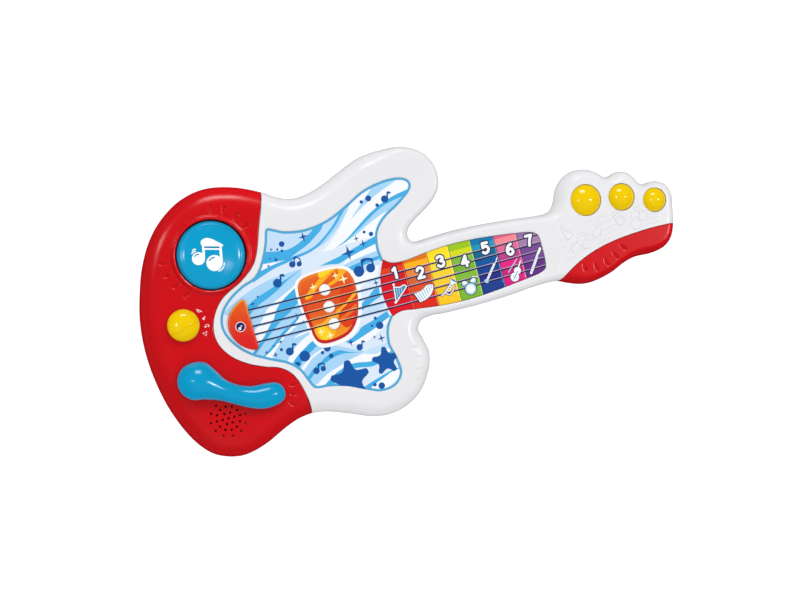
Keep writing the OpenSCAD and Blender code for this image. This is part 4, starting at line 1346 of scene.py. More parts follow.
# Centre lines of rounded digits in a box 6 wide and 9 high, with its middle at zero
DIGITS = {
    1: [[(-1.6, 2.6), (0.4, 4.2)], [(0.4, 4.2), (0.4, -4.2)]],
    2: [[(-2.4, 2.4), (-1.4, 3.9), (0.8, 4.1), (2.4, 2.6), (1.8, 0.4), (-0.4, -2), (-2.5, -4, 0)],
        [(-2.5, -4), (2.7, -4)]],
    3: [[(-2.3, 3.3), (-0.5, 4.2), (1.7, 3.5), (2, 1.8), (0.2, 0.3, 0)],
        [(0.2, 0.3, 0), (2.2, -0.7), (2.4, -2.7), (0.6, -4.2), (-1.3, -4), (-2.5, -3)]],
    4: [[(1.1, -4.2), (1.1, 4.2)], [(1.1, 4.2), (-2.6, -1.4)], [(-2.6, -1.4), (2.8, -1.4)]],
    5: [[(2.3, 4), (-1.7, 4)], [(-1.7, 4), (-2, 0.6)],
        [(-2, 0.6, 0), (0.2, 1.2), (2.3, 0.1), (2.4, -2.2), (0.8, -4), (-1.2, -4.2), (-2.5, -3.2)]],
    6: [[(1.8, 4.1), (-0.6, 2.8), (-2.2, 0.2), (-2.2, -2.4), (-0.8, -4.1), (1.2, -4.1), (2.5, -2.5),
         (2, -0.5), (0.2, 0.3), (-1.8, -1)]],
    7: [[(-2.5, 4), (2.4, 4)], [(2.4, 4), (0.4, 0.4), (-0.8, -4.2)]],
}


def path_through(points, steps=5):
    """A straight line through two points, or a smooth open curve through more."""
    return np.array(points, float) if len(points) == 2 else curve(points, steps, closed=False)


def digit(art, value, spot, size=1.0):
    for width, colour in ((4.4 * size, NAVY), (2.4 * size, SNOW)):
        for path in DIGITS[value]:
            art.stroke(path_through(path) * size + np.array(spot, float), width, colour)


def outlined(art, strokes):
    """White strokes with a dark edge: each is (path, dark width, white width)."""
    for path, dark, _ in strokes:
        art.stroke(path, dark, NAVY)
    for path, _, white in strokes:
        art.stroke(path, white, SNOW)


def dots_along(art, line, first, step, count, r):
    """Small blue dots along a straight line, at even shares of its length."""
    for k in range(count):
        art.disc(line[0] + (line[1] - line[0]) * (first + step * k), r, STEEL_BLUE)


def ticks(art, pairs, width, colour):
    """Short straight lines between pairs of points."""
    for pair in pairs:
        art.stroke(np.array(pair), width, colour)


DIGIT_SPOTS = [(-23, 5.2), (0, -0.6), (21, 5), (43.5, -0.6), (65.5, 6.6), (88, -0.5), (108.5, 3)]
ICE = ("icon_ice", 170, 212, 236)
STEEL_BLUE = ("icon_blue", 70, 150, 200)


def icon_harp(art):
    art.area(np.array([(-28.4, -20.4), (-27.2, -8), (-22, -9), (-18.4, -8.2), (-16.2, -9.6)]), STEEL_BLUE)
    frame = ([(-28.8, -21), (-27.4, -5.4)], [(-27.4, -7.2), (-22, -8.6), (-18, -7.6), (-15.8, -9.4)],
             [(-15.8, -9.4), (-28.4, -21)])
    outlined(art, [(path_through(path), 1.9, 1.1) for path in frame])
    for spot in ((-27.2, -4.9), (-29.4, -21.2)):
        art.disc(spot, 1.1, SNOW)
    ticks(art, [[(-25.6 + 2.4 * k, -9.2), (-26.2 + 2.4 * k, -18.2 + 2.5 * k)] for k in range(3)], 0.3, SNOW)


def icon_panpipe(art):
    outer = curve([(-10.5, -18, 0), (-3, -16.4), (3, -13.2), (8.5, -13.6, 0), (8, -18), (4, -23), (-1, -25.6),
                   (-7, -27, 0)], 5)
    middle = outer.mean(0)
    art.area(middle + (outer - middle) * 1.1, NAVY)
    art.area(outer, SNOW)
    for k in range(7):
        t = k / 6
        pipe = [(-8.6 + 15.4 * t, -18 + 4.2 * t), (-5.4 + 12 * t, -26 + 9 * t ** 1.6)]
        art.stroke(np.array(pipe), 0.55, STEEL_BLUE)


def icon_trumpet(art):
    body = curve([(14.5, -26), (18, -24), (24, -18.8), (27.5, -16)], 5, closed=False)
    loop = curve([(19, -24.6), (21, -27), (24.6, -25.4), (27.6, -21.4), (26.4, -18.6)], 5, closed=False)
    bell = np.array([(25, -18.4), (26, -12.6), (31.6, -17.8), (26.8, -19)])
    for line, wide in ((body, 2.4), (loop, 2.1)):
        art.stroke(line, wide, NAVY)
    art.area(bell + (bell - bell.mean(0)) * 0.16, NAVY)
    for line, wide in ((body, 1.3), (loop, 1.0)):
        art.stroke(line, wide, SNOW)
    art.area(bell, SNOW)
    art.area(ellipse((28.7, -15.3), 3, 0.9, -43), STEEL_BLUE)
    valves = [(20.6 + 1.8 * k, -22.4 + 1.5 * k) for k in range(3)]
    ticks(art, [[(x, y), (x + 1.5, y - 1.6)] for x, y in valves], 0.8, SNOW)


def icon_drums(art):
    for spot, a, b, angle in (((38.6, -21), 3.4, 2.6, -25), ((46.6, -20.4), 3.2, 2.6, 25)):
        art.area(ellipse(spot, a + 0.7, b + 0.7, angle), NAVY)
        art.area(ellipse(spot, a, b, angle), ICE)
        art.area(ellipse((spot[0], spot[1] + 0.9), a * 0.8, b * 0.55, angle), SNOW)
    for r, colour in ((6.1, NAVY), (5.4, ICE), (3.9, SNOW)):
        art.disc((42.6, -26.8), r, colour)
    outlined(art, [(np.array([(46.8, -16.2), (52, -17.4)]), 1.7, 1.0)])


def icon_clarinet(art):
    body = np.array([(59.4, -23.6), (70, -10.4)])
    tip = curve([(70, -10.4), (72.6, -8), (73.4, -6.2), (74.6, -5)], 4, closed=False)
    outlined(art, [(body, 3.1, 2.1), (tip, 1.8, 0.95)])
    art.area(ellipse((59, -23.8), 2.2, 1.5, -39), ICE)
    dots_along(art, body, 0.12, 0.19, 5, 0.5)


def icon_violin(art):
    art.bend([(81.6, -21), (88, -15), (92.6, -10.6)], 0.8, ICE)
    neck = np.array([(91.6, -19.6), (95.4, -13.6)])
    for more, wide, colour in ((0.6, 2.2, NAVY), (0, 1.3, SNOW)):
        art.disc((86.4, -26.8), 4.2 + more, colour)
        art.disc((90.4, -21.6), 3.4 + more, colour)
        art.stroke(neck, wide, colour)
    art.stroke(np.array([(85, -28.6), (90.4, -22.2)]), 0.7, STEEL_BLUE)
    for spot in ((85.4, -26), (87.8, -27.6)):
        art.disc(spot, 0.5, STEEL_BLUE)


def icon_recorder(art):
    body = np.array([(102.8, -27), (112.4, -13)])
    mouth = curve([(113.2, -11.6), (115.4, -9), (116.6, -7)], 4, closed=False)
    outlined(art, [(body, 3.6, 2.5), (mouth, 3.4, 2.4)])
    dots_along(art, body, 0.1, 0.14, 6, 0.55)
    art.stroke(np.array([(112, -14), (113.8, -12.2)]), 0.6, STEEL_BLUE)


ICONS = [icon_harp, icon_panpipe, icon_trumpet, icon_drums, icon_clarinet, icon_violin, icon_recorder]
KEY_LINE = ("key_string", 18, 30, 62)
KEY_GLINT = ("key_glint", 205, 178, 214)


def key_piece(i, maps):
    """One coloured key, with its print. `i` counts from 0."""
    x0, x1 = KEY_EDGES[i] + KEY_GAP / 2, KEY_EDGES[i + 1] - KEY_GAP / 2
    field = maps["keys"]
    side = normals(field)
    inner = field + side * KEY_GAP
    box = np.array([(x0, -60), (x0, 60), (x1, 60), (x1, -60)], float)
    art = Print(("key%d_a" % (i + 1),) + KEY_INKS[i][0])
    key_bands(art, i, max(x0, -40), min(x1, 121))
    # The glow ink is a painted highlight: a lighter strip down the right edge of every key but the last,
    # standing in for light caught by the key's rounded edge.
    glow = ("key%d_glow" % (i + 1),) + KEY_INKS[i][7]
    if i < len(ICONS) - 1:
        art.area(np.array([(x1 - 1.3, -50), (x1 - 1.3, 40), (x1 + 1, 40), (x1 + 1, -50)]), glow)
    low, high = max(x0, -42.0), min(x1, 122.0)
    draw_strings(art, low - 4, min(high + 4, STRING_TO), KEY_LINE, over=KEY_GLINT)
    ICONS[i](art)
    digit(art, i + 1, DIGIT_SPOTS[i], 1.12)
    plan = Plan()
    art.lay(plan, np.array([x0, -60]), np.array([x1, 60]))
    plan.line(inner)
    plan.line(resampled(box, 1.5))
    near = (inner[:, 0] > x0 - 1) & (inner[:, 0] < x1 + 1)
    for depth in (0.25, 0.6, 1.1):
        plan.dots((inner + side * depth)[near], 0.12)
        plan.columns((x0 + depth, x1 - depth), -38, 22, 1.2, 0.12)
    plan.grid((low, -38), (high, 21), 4.0, gap=0.8)

    def keep(p):
        return inside(p, inner) & (p[:, 0] > x0) & (p[:, 0] < x1)

    def height(p):
        d = np.minimum(distance(p, inner), np.minimum(np.abs(p[:, 0] - x0), np.abs(p[:, 0] - x1)))
        return KEY_Z - 0.35 * (1 - rim(d, 1.1, 2))

    inks = [ink(*c, rough=0.3) for c in art.inks]
    return sheet("key_%d_print" % (i + 1), plan, keep, height, inks, paint=art.pick, solid=KEY_Z - 4.5,
                 sharp=40)


def pickup():
    art = Print("pickup_inner")
    loop = clockwise(curve(PICKUP_OUTLINE, 8))
    art.band(loop, PICKUP_BORDER, "pickup_rim")
    flame, gold = ("flame", 255, 178, 24), ("gold", 255, 214, 30)
    deep = ("ember", 222, 60, 20)
    art.blob([(-76, 4), (-67, 6), (-65, -4), (-69, -22), (-78, -32), (-84, -24), (-80, -10)], deep)
    art.blob([(-110, 3), (-105, 9), (-98, 14), (-92, 19), (-90, 24.5), (-76, 24.5), (-82, 19), (-90, 14),
              (-98, 9), (-104, 3)], flame)
    art.blob([(-93, 19), (-90, 24.6), (-78, 24.6), (-83, 21)], gold)
    art.blob([(-86, 10), (-80, 13.5), (-75, 18), (-72, 23.5), (-66, 20.5), (-72, 15), (-78, 11)], flame)
    art.blob([(-86, -17), (-78, -11), (-70, -6), (-63, -0.5), (-63.3, -4), (-70, -9), (-78, -13.5)], flame)
    art.blob([(-84, -24), (-76, -19), (-66, -13), (-67, -17), (-76, -22)], ("ember_light", 240, 112, 30))
    art.blob([(-108, -24), (-100, -22), (-92, -18), (-84, -17), (-88, -24), (-92, -36), (-103, -37.5),
              (-108, -33)], flame)
    art.blob([(-106, -26), (-100, -25), (-96, -30), (-94, -36), (-103, -37)], gold)
    spark = ("spark", 255, 246, 190)
    for x, y, r in [(-100.4, 11.6, 3.4), (-77.8, 16.8, 3.2), (-71.6, 11.8, 4.4), (-103.4, -29.8, 3.2),
                    (-96, -35, 3.6)]:
        art.disc((x, y), r * 0.36, gold)
        sparkle(art, (x, y), r, spark, 0)
    draw_strings(art, -118, -60, ("pickup_string", 40, 26, 40), over=("pickup_glint", 246, 196, 150))
    plan = Plan()
    plan.line(loop)
    plan.rings(loop, [0.3, 0.8, 1.5, 2.3], gap=0.15)
    art.lay(plan, loop.min(0), loop.max(0))
    plan.line(loop + normals(loop) * PICKUP_BORDER)
    holes = light_holes(40)
    plan.lines_of(*holes)
    plan.grid(loop.min(0), loop.max(0), 4.0, gap=1.0)

    def height(p):
        return PICKUP_Z - 0.9 * (1 - rim(distance(p, loop), 2.2, 2))

    own = {
        "pickup_inner": across("pickup_inner", (0, 1), [
            (-40, 250, 160, 10), (-24, 240, 120, 8), (-8, 228, 76, 16), (8, 232, 82, 6), (24, 238, 110, 4)]),
        "pickup_rim": across("pickup_rim", (0, 1), [
            (-40, 206, 0, 8), (-20, 212, 10, 8), (2, 226, 62, 10), (14, 236, 108, 6), (24, 242, 120, 10)]),
    }
    return sheet("pickup_plate_print", plan, lambda p: within(p, loop, holes), height,
                 inks_of(art, own, 0.28), paint=art.pick, solid=LABEL_Z, side=1)


def light(i):
    spot = LIGHT_SPOTS[i]
    art = Print("glow")
    draw_strings(art, spot[0] - 12, spot[0] + 12, ("light_string", 44, 46, 70))
    loop = clockwise(circle(spot, LIGHT_R, 40))
    plan = Plan()
    plan.line(loop)
    plan.rings(loop, [0.3, 0.8, 1.5], gap=0.1)
    art.lay(plan, loop.min(0), loop.max(0))
    plan.grid(loop.min(0), loop.max(0), 1.4, gap=0.5, where=lambda p: inside(p, loop))

    def height(p):
        return LIGHT_Z + 0.5 - 1.1 * (far_from(p, spot) / LIGHT_R) ** 2.6

    own = {"glow": plain("light_diffuser", srgb(250, 250, 246), rough=0.3, vary=0.02, specular=0.45)}
    return sheet("light_%d" % (i + 1), plan, lambda p: inside(p, loop), height, inks_of(art, own),
                 paint=art.pick, solid=35)


def bridge():
    loop = clockwise(curve(BRIDGE_OUTLINE, 8))
    art = Print("bridge_face")
    art.band(loop, BRIDGE_BORDER, "bridge_rim")
    badge, mark = ("badge_navy", 34, 28, 92), ("badge_white", 244, 240, 248)
    for r, colour in ((4.6, mark), (4.0, badge)):
        art.area(ellipse((-173.4, -6.4), r, r), colour)
    single_note(art, (-174.4, -7.8), 1.35, mark)
    plan = Plan()
    plan.line(loop)
    plan.rings(loop, [0.3, 0.7, 1.2], gap=0.12)
    plan.line(loop + normals(loop) * BRIDGE_BORDER)
    art.lay(plan, loop.min(0), loop.max(0))
    plan.grid(loop.min(0), loop.max(0), 2.4, gap=0.8)

    def height(p):
        return BRIDGE_Z - 1.6 * (1 - rim(distance(p, loop), 2.6, 2.2))

    own = {
        "bridge_face": across("bridge_face", (0.25, 1), [
            (-75, 228, 8, 14), (-60, 226, 26, 18), (-44, 230, 66, 14), (-30, 234, 92, 4)], rough=0.3),
        "bridge_rim": across("bridge_rim", (0.25, 1), [
            (-75, 216, 10, 12), (-62, 222, 40, 20), (-46, 236, 96, 22), (-30, 244, 154, 34)], rough=0.3),
    }
    return sheet("bridge_plate_print", plan, lambda p: inside(p, loop), height, inks_of(art, own),
                 paint=art.pick, solid=LABEL_Z, side=1, sharp=45)


# ---------------------------------------------------------------- buttons, lever and knob

BUTTON_FLOOR_Z = 30
BUTTON_POCKET = 8.0
BUTTON_STEM_R = 6.5
BUTTON_POCKET_R = 28.2
# (radius, height) from the middle to the edge
BUTTON_PROFILE = [(0, 43), (8, 42.8), (16, 42.2), (21, 41.6), (24.6, 41.05), (25.7, 40.65), (26.6, 40.65),
                  (27.4, 40.95), (28.3, 40.6), (29.6, 39.4), (30.6, 37.9), (31, 36.4)]


def profile_height(profile, r):
    line = curve(profile, 6, closed=False)
    return np.interp(r, line[:, 0], line[:, 1])


def upright(points):
    """Turns a picture drawn upright in the photograph's own frame so that it lies that way on the face."""
    middle = np.array([-1.7, -0.2])
    return turned((np.asarray(points, float) - middle) * 0.937 + middle + [-1.3, 1.0], -14.6)


def button_art():
    art = Print("button_blue")
    white, blue = ("button_white", 250, 254, 255), ("button_shade", 0, 128, 176)
    spot = np.array(BIG_SPOT, float)

    def pull(points, width, colour):
        art.stroke(upright(path_through(points)) + spot, width, colour)

    beam = [(-7.6, 7.6), (-9.4, 10.4), (-8.6, 13.4), (-4.5, 15.6), (0.8, 14.9), (6, 12.4), (11.2, 9.8),
            (12, 8.4), (10, 7.4, 0), (-7, 7.6, 0)]
    art.area(upright(curve(beam, 5)) + spot, white)
    pull([(-6.9, 8), (-6.4, -3)], 2.3, white)
    pull([(9.3, 8), (10, 0), (10.6, -6.6)], 2.4, white)
    pull([(-6.6, 5.2), (9, 5.2)], 1.5, white)
    pull([(-5.4, 6.9), (8, 6.9)], 1.5, blue)
    for x, y, r in ((-11.4, -4.1, 5.8), (3.8, -8.2, 7.2)):
        art.area(circle(upright([(x, y)])[0] + spot, r, 40), white)
    pull([(-14.8, -2), (-13.4, -0.4), (-11.4, 0)], 1.1, blue)
    pull([(-1, -5.8), (0.8, -3.8), (3.6, -2.9)], 1.1, blue)
    pull([(-17.6, 0.8), (-16.4, 2.2), (-14.6, 3)], 1.2, white)
    pull([(-17, 3.6), (-15.8, 4.6), (-14.4, 4.8)], 1.1, white)
    pull([(8, -16), (10.8, -14.2), (12.6, -11.8)], 1.1, white)
    pull([(13, -10.2), (13.2, -8)], 1.1, white)
    return art


def big_button():
    art = button_art()
    loop = clockwise(circle(BIG_SPOT, BIG_R, 120))
    plan = Plan()
    plan.line(loop)
    for r in (30.85, 30.6, 30.2, 29.7, 29.1, 28.5, 28, 27.5, 27, 26.5, 26, 25.4, 24.8, 24, 22.6):
        plan.dots(circle(BIG_SPOT, r, 120), 0.05)
    art.lay(plan, loop.min(0), loop.max(0))
    plan.grid(loop.min(0), loop.max(0), 2.2, gap=0.7,
              where=lambda p: far_from(p, BIG_SPOT) < 21.4)

    def height(p):
        return profile_height(BUTTON_PROFILE, far_from(p, BIG_SPOT))

    def pocket(p):
        r = far_from(p, BIG_SPOT)
        return np.where((r > BUTTON_STEM_R) & (r < BUTTON_POCKET_R), BUTTON_POCKET, 0.0)

    inks = inks_of(art, {"button_blue": blue_plastic()}, 0.25)
    return sheet("big_button_cap", plan, lambda p: inside(p, loop), height, inks, paint=art.pick,
                 solid=BUTTON_FLOOR_Z, sharp=50, hollow=pocket)


def inflate(loop, step=1.0, rounds=900):
    """Height of a skin blown up over an outline: a strip comes out as high as its half width."""
    low, high = loop.min(0) - 2 * step, loop.max(0) + 2 * step
    xs, ys = np.arange(low[0], high[0], step), np.arange(low[1], high[1], step)
    gx, gy = np.meshgrid(xs, ys)
    cells = np.stack([gx.ravel(), gy.ravel()], 1)
    within = inside(cells, loop).reshape(gx.shape)
    phi = np.zeros(gx.shape)
    for _ in range(rounds):
        near = (np.roll(phi, 1, 0) + np.roll(phi, -1, 0) + np.roll(phi, 1, 1) + np.roll(phi, -1, 1)) / 4
        phi = np.where(within, near + step * step / 4, 0)
    edge = np.maximum(distance(cells, loop).reshape(gx.shape), step * 0.5)
    ratio = np.where(within, phi / edge, 0)
    for _ in range(8):
        filled = ratio > 0
        total = sum(np.roll(ratio, s, a) for s in (1, -1) for a in (0, 1))
        count = sum(np.roll(filled, s, a) for s in (1, -1) for a in (0, 1))
        ratio = np.where(filled, ratio, total / np.maximum(count, 1))

    def height(p):
        fx = np.clip((p[:, 0] - low[0]) / step, 0, len(xs) - 1.001)
        fy = np.clip((p[:, 1] - low[1]) / step, 0, len(ys) - 1.001)
        ix, iy = fx.astype(int), fy.astype(int)
        tx, ty = fx - ix, fy - iy
        value = (ratio[iy, ix] * (1 - tx) * (1 - ty) + ratio[iy, ix + 1] * tx * (1 - ty)
                 + ratio[iy + 1, ix] * (1 - tx) * ty + ratio[iy + 1, ix + 1] * tx * ty)
        return np.sqrt(np.maximum(2 * value * distance(p, loop), 0))

    return height


def lever():
    loop = clockwise(resampled(curve(LEVER_OUTLINE, 8), 1.4))
    skin = inflate(loop)
    tallest = skin(circle(LEVER_SPOT, 5, 24)).max()
    plan = Plan()
    plan.line(loop)
    plan.rings(loop, [0.08, 0.25, 0.5, 0.85, 1.3, 1.9, 2.6, 3.5, 4.6])
    plan.grid(loop.min(0), loop.max(0), 1.5, where=lambda p: inside(p, loop) & (distance(p, loop) > 5.4))
    side_z = LEVER_Z + 1.6
    rise = LEVER_TOP_Z - side_z

    def height(p):
        """A round ball that runs into a lower arm."""
        ball = np.clip(1 - (far_from(p, LEVER_SPOT) / LEVER_BALL_R) ** 2, 0, 1) ** 0.7
        arm = 1.12 * (skin(p) / tallest) ** 1.35
        return side_z + rise * (ball ** 5 + arm ** 5) ** 0.2

    return sheet("lever_skin", plan, lambda p: inside(p, loop), height, [blue_plastic()], solid=LEVER_Z,
                 sharp=60)


def knob():
    loop = clockwise(circle(KNOB_SPOT, KNOB_R, 96))
    plan = Plan()
    plan.line(loop)
    for r in (14.42, 14.25, 14.0, 13.6, 13.0, 12.3):
        plan.dots(circle(KNOB_SPOT, r, 96), 0.03)
    plan.grid(loop.min(0), loop.max(0), 0.8, gap=0.4,
              where=lambda p: far_from(p, KNOB_SPOT) < 11.9)

    def height(p):
        """A crown with a low rib across it, and a slightly sunken part below the rib."""
        r = far_from(p, KNOB_SPOT)
        crown = KNOB_SIDE_Z + KNOB_CROWN * np.sqrt(np.clip(1 - (r / (KNOB_R + 0.05)) ** 2.2, 0, 1))
        above_rib = turned(p - np.array(KNOB_SPOT, float), KNOB_RIB_TURN)[:, 1] + 1.6
        rib = 0.55 * np.exp(-np.abs(above_rib / 0.75) ** 2.5) * smoothstep(KNOB_R - r, 0.8, 3)
        shelf = -0.35 * smoothstep(-above_rib, 0.3, 2.5) * smoothstep(KNOB_R - r, 0.5, 4)
        return crown + rib + shelf

    return sheet("selector_knob_cap", plan, lambda p: inside(p, loop), height, [yellow_plastic()],
                 solid=KNOB_Z, sharp=60)


def head_button(i):
    """A domed cap on a straight neck, with a flange that keeps it in the case."""
    r = HEAD_RADII[i]
    ball = (r * r + DOME_RISE * DOME_RISE) / (2 * DOME_RISE)
    profile = []
    for k in range(25):
        a = (k / 24) * math.asin(min(r / ball, 1))
        profile.append((ball * math.sin(a), DOME_SIDE_Z + DOME_RISE - ball + ball * math.cos(a)))
    neck, flange = r + 0.02, r + 1.3
    profile += [(neck, DOME_SIDE_Z - 0.3), (neck, 31.3), (flange, 31.0), (flange, 29.6), (0, 29.6)]
    return lathe("head_button_%d_cap" % (i + 1), profile, HEAD_SPOTS[i], [yellow_plastic()], sharp=40)


def selector_marks():
    """Four small marks beside the selector, one for each of its places, as thin raised print."""
    tone = ("selector_ink", 248, 214, 216)
    pieces = []
    for k, (turn, reach) in enumerate(((28.4, 19.2), (5.2, 19.8), (-15.2, 21), (-35.6, 21))):
        a = math.radians(turn)
        x, y = np.array(KNOB_SPOT, float) + reach * np.array([math.cos(a), math.sin(a)]) - ART_SHIFT
        art = Print("none")
        if k == 0:
            art.bend([(x - 2, y + 1.6), (x, y + 0.4), (x + 1.8, y - 1.4)], 0.9, tone)
            art.stroke(np.array([(x - 2, y), (x - 0.2, y - 1.2)]), 0.7, tone)
        elif k == 1:
            single_note(art, (x - 0.8, y - 0.6), 1.1, tone)
        elif k == 2:
            note_pair(art, (x - 1.6, y - 0.6), 0.9, (x + 1.2, y - 0.8), 0.8, tone)
        else:
            for spot in ((x - 1.4, y + 0.8), (x + 1.2, y + 1.2), (x + 0.2, y - 1.2)):
                sparkle(art, spot, 1.3, tone)
                art.disc(spot, 0.5, tone)
        plan = Plan()
        art.lay(plan, np.array([-400, -400]), np.array([400, 400]))
        pieces.append(sheet("selector_mark_%d" % (k + 1), plan, lambda p, a=art: a.pick(p) > 0,
                            flat_at(COVER_Z + 0.12), [ink(*tone)], solid=COVER_Z - 0.1))
    return pieces


def spring():
    """The coil under the big button."""
    turns, r, wire = 4.5, 10.3, 0.65
    low, high = COIL_FOOT_Z + wire, COIL_TOP_Z - wire
    t = np.linspace(0, 1, 200)
    a = t * turns * 2 * math.pi
    flat = smoothstep(t, 0.08, 0.92)
    path = np.stack([BIG_SPOT[0] + r * np.cos(a), BIG_SPOT[1] + r * np.sin(a), low + (high - low) * flat], 1)
    return sweep("big_button_coil", path, wire, [steel()])


# ---------------------------------------------------------------- finishes of the parts kept from CAD


def steel():
    return plain("steel", srgb(170, 172, 176), rough=0.3, vary=0.12, cloud=250, metal=0.45, bump=0.05)


def finishes():
    """The CAD nodes that stay in view, under the material that each group of them gets."""
    board = plain("circuit_board", srgb(28, 104, 62), rough=0.42, vary=0.18, cloud=260, bump=0.08)
    rubber = plain("silicone", srgb(206, 206, 200), rough=0.6, vary=0.06, cloud=120, specular=0.3, bump=0.06)
    dark = plain("dark_plastic", srgb(34, 34, 38), rough=0.45, vary=0.12, cloud=160, bump=0.05)
    cone = plain("cone_paper", srgb(46, 44, 46), rough=0.7, vary=0.2, cloud=400, specular=0.2, bump=0.15)
    magnet = plain("magnet", srgb(92, 94, 98), rough=0.5, vary=0.15, cloud=200, metal=0.6, bump=0.06)
    lens = plain("led_lens", srgb(244, 240, 214), rough=0.15, vary=0.03, cloud=200)
    sleeve = plain("wire_sleeve", srgb(178, 34, 30), rough=0.4, vary=0.1, cloud=150)
    wrap = across("cell_wrap", (1, 0), [(-137, 196, 160, 60), (-124, 190, 152, 52), (-123, 40, 44, 54),
                                        (-87, 36, 40, 50)], rough=0.3)
    ribbon = across("ribbon", (0, 1), [(-70, 150, 154, 162), (-40, 176, 178, 184), (-10, 150, 154, 162)],
                    rough=0.5)
    return [
        (steel(), ["case_screws", "big_button_screw", "lever_screw", "lever_spring", "battery_contacts",
                   "battery_door_screw", "speaker_frame"]),
        (board, ["led_board", "head_board", "neck_board", "main_board"]),
        (dark, ["drum_switch", "lever_switch", "selector_switch", "sound_chip"]),
        (rubber, ["head_pad", "key_pad"]),
        (cone, ["speaker_cone"]),
        (magnet, ["speaker_magnet"]),
        (white_plastic(), ["battery_tray", "battery_door"]),
        (sleeve, ["battery_leads", "speaker_leads"]),
        (ribbon, ["neck_ribbon"]),
        (lens, ["led_1", "led_2", "led_3"]),
        (wrap, ["cell_1", "cell_2", "cell_3"]),
    ]


def dress_cad(frame):
    """Gives the CAD nodes their finishes, and soft edges to those that show on the outside."""
    for material, names in finishes():
        for name in names:
            o = frame["nodes"][name]
            o.data.materials.clear()
            o.data.materials.append(material)
            if name in ("battery_door", "case_screws", "battery_door_screw"):
                bevel = o.modifiers.new("soft_edges", "BEVEL")
                bevel.width = 0.3 * MM
                bevel.segments = 2
                bevel.limit_method = "ANGLE"


# ---------------------------------------------------------------- stage


CAM_RIGHT = Vector((0.94841, -0.24651, 0.19937))
CAM_UP = Vector((0.25156, 0.96784, 0.0))
CAM_BACK = Vector((-0.19296, 0.05015, 0.97992))
AIM = Vector((-24.7, -20.6, 38.0)) * MM
CAM_DISTANCE = 1.472


def camera():
    data = bpy.data.cameras.new("camera")
    data.lens = 72
    data.sensor_width = 36
    data.clip_start = 0.01
    data.clip_end = 50
    o = bpy.data.objects.new("camera", data)
    turn = Matrix((CAM_RIGHT, CAM_UP, CAM_BACK)).transposed()
    o.matrix_world = Matrix.Translation(AIM + CAM_BACK * CAM_DISTANCE) @ turn.to_4x4()
    bpy.context.scene.collection.objects.link(o)
    bpy.context.scene.camera = o


def soft_light(name, direction, far, size, power, size_y=None, shape="RECTANGLE", shine=True):
    """An area light in a direction given in the camera's own axes: right, up, towards the camera."""
    way = (CAM_RIGHT * direction[0] + CAM_UP * direction[1] + CAM_BACK * direction[2]).normalized()
    data = bpy.data.lights.new(name, "AREA")
    data.energy = power
    data.shape = shape
    data.size = size
    data.size_y = size_y or size
    o = bpy.data.objects.new(name, data)
    o.location = AIM + way * far
    o.rotation_euler = way.to_track_quat("Z", "Y").to_euler()
    o.visible_glossy = shine
    bpy.context.scene.collection.objects.link(o)
    return o


def aim_at(lamp, names, others=False):
    """Lets a light fall only on the named pieces, or on everything but them."""
    group = bpy.data.collections.new(lamp.name + "_pieces")
    for o in bpy.data.objects:
        if o.type == "MESH" and (o.name in names) != others:
            group.objects.link(o)
    lamp.light_linking.receiver_collection = group


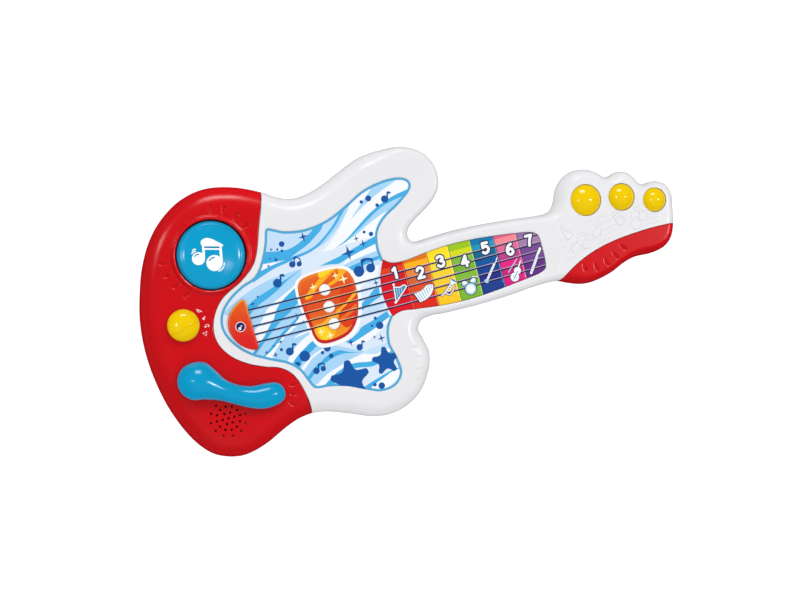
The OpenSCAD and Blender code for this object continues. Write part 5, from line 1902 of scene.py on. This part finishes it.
def lights():
    red = ("body_cover_skin", "head_cover_skin")
    soft_light("top_soft", (0.06, 0.80, 0.60), 3.0, 1.25, 24.0, 0.85)
    soft_light("right_spot", (0.73, 0.07, 0.68), 4.0, 0.42, 20.0)
    soft_light("low_fill", (0.1, -0.62, 0.78), 3.5, 3.0, 24.0, shine=False)
    aim_at(soft_light("left_spot", (-0.33, 0.03, 0.94), 4.0, 0.36, 13.0), red, others=True)
    aim_at(soft_light("red_left", (-0.56, 0.34, 0.74), 4.0, 0.6, 14.0, 1.0), red)
    aim_at(soft_light("red_upper_right", (0.68, 0.63, 0.37), 4.0, 0.9, 56.0), red)
    aim_at(soft_light("button_glow", (0.425, -0.085, 0.9), 4.0, 0.36, 2.6, shape="DISK"), ("big_button_cap",))
    world = bpy.data.worlds.new("studio")
    world.use_nodes = True
    sky = world.node_tree.nodes["Background"]
    sky.inputs["Color"].default_value = (1, 1, 1, 1)
    sky.inputs["Strength"].default_value = 0.61
    world.cycles_visibility.glossy = False
    bpy.context.scene.world = world


def floor():
    half, z = 6000, -0.2
    corners = [(-half, -half, z), (half, -half, z), (half, half, z), (-half, half, z)]
    o = make_mesh("studio_floor", corners, [(0, 1, 2, 3)], [])
    m, shader, coords = base_material("studio_floor", 0.9, specular=0.0, bump=0.01)
    mottle(m, shader, coords, (0.5, 0.5, 0.5, 1), 0.01, 3)
    shader.inputs["Emission Color"].default_value = (1, 1, 1, 1)
    shader.inputs["Emission Strength"].default_value = 0.66
    o.data.materials.append(m)
    o.visible_glossy = False


# ---------------------------------------------------------------- build


def put(piece, body, slot, node=None):
    """Lets a piece ride on a body, in the place of a CAD node when one is named."""
    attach(piece, body)
    if node:
        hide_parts(node)


KEY_SLOTS = ["key_red", "key_orange", "key_yellow", "key_green", "key_blue", "key_pink", "key_violet"]


def build(frame):
    maps = regions()
    put(front_shell(maps), "case", "white_plastic", "front_shell")
    put(back_shell(maps), "case", "white_plastic", "back_shell")
    put(body_cover(maps), "case", "red_plastic", "body_cover")
    put(head_cover(maps), "case", "red_plastic", "head_cover")
    put(label(maps), "case", "label_print", "body_label")
    put(bridge(), "case", "orange_print", "bridge_plate")
    put(pickup(), "case", "orange_print", "pickup_plate")
    for i in range(len(LIGHT_SPOTS)):
        put(light(i), "case", "light_diffuser", "light_window")
    for mark in selector_marks():
        put(mark, "case", "label_print")
    put(big_button(), "big_button", "blue_plastic", "big_button")
    coil = spring()
    put(coil, "case", "steel", "big_button_spring")
    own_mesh(coil)
    put(lever(), "lever", "blue_plastic", "lever")
    put(knob(), "selector_knob", "yellow_plastic", "selector_knob")
    for i in range(len(HEAD_SPOTS)):
        body = "head_button_%d" % (i + 1)
        put(head_button(i), body, "yellow_plastic", body)
    for i, slot in enumerate(KEY_SLOTS):
        body = "key_%d" % (i + 1)
        put(key_piece(i, maps), body, slot, body)
    dress_cad(frame)


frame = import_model()
bpy.context.scene.view_settings.view_transform = "Standard"
build(frame)
camera()
floor()
lights()
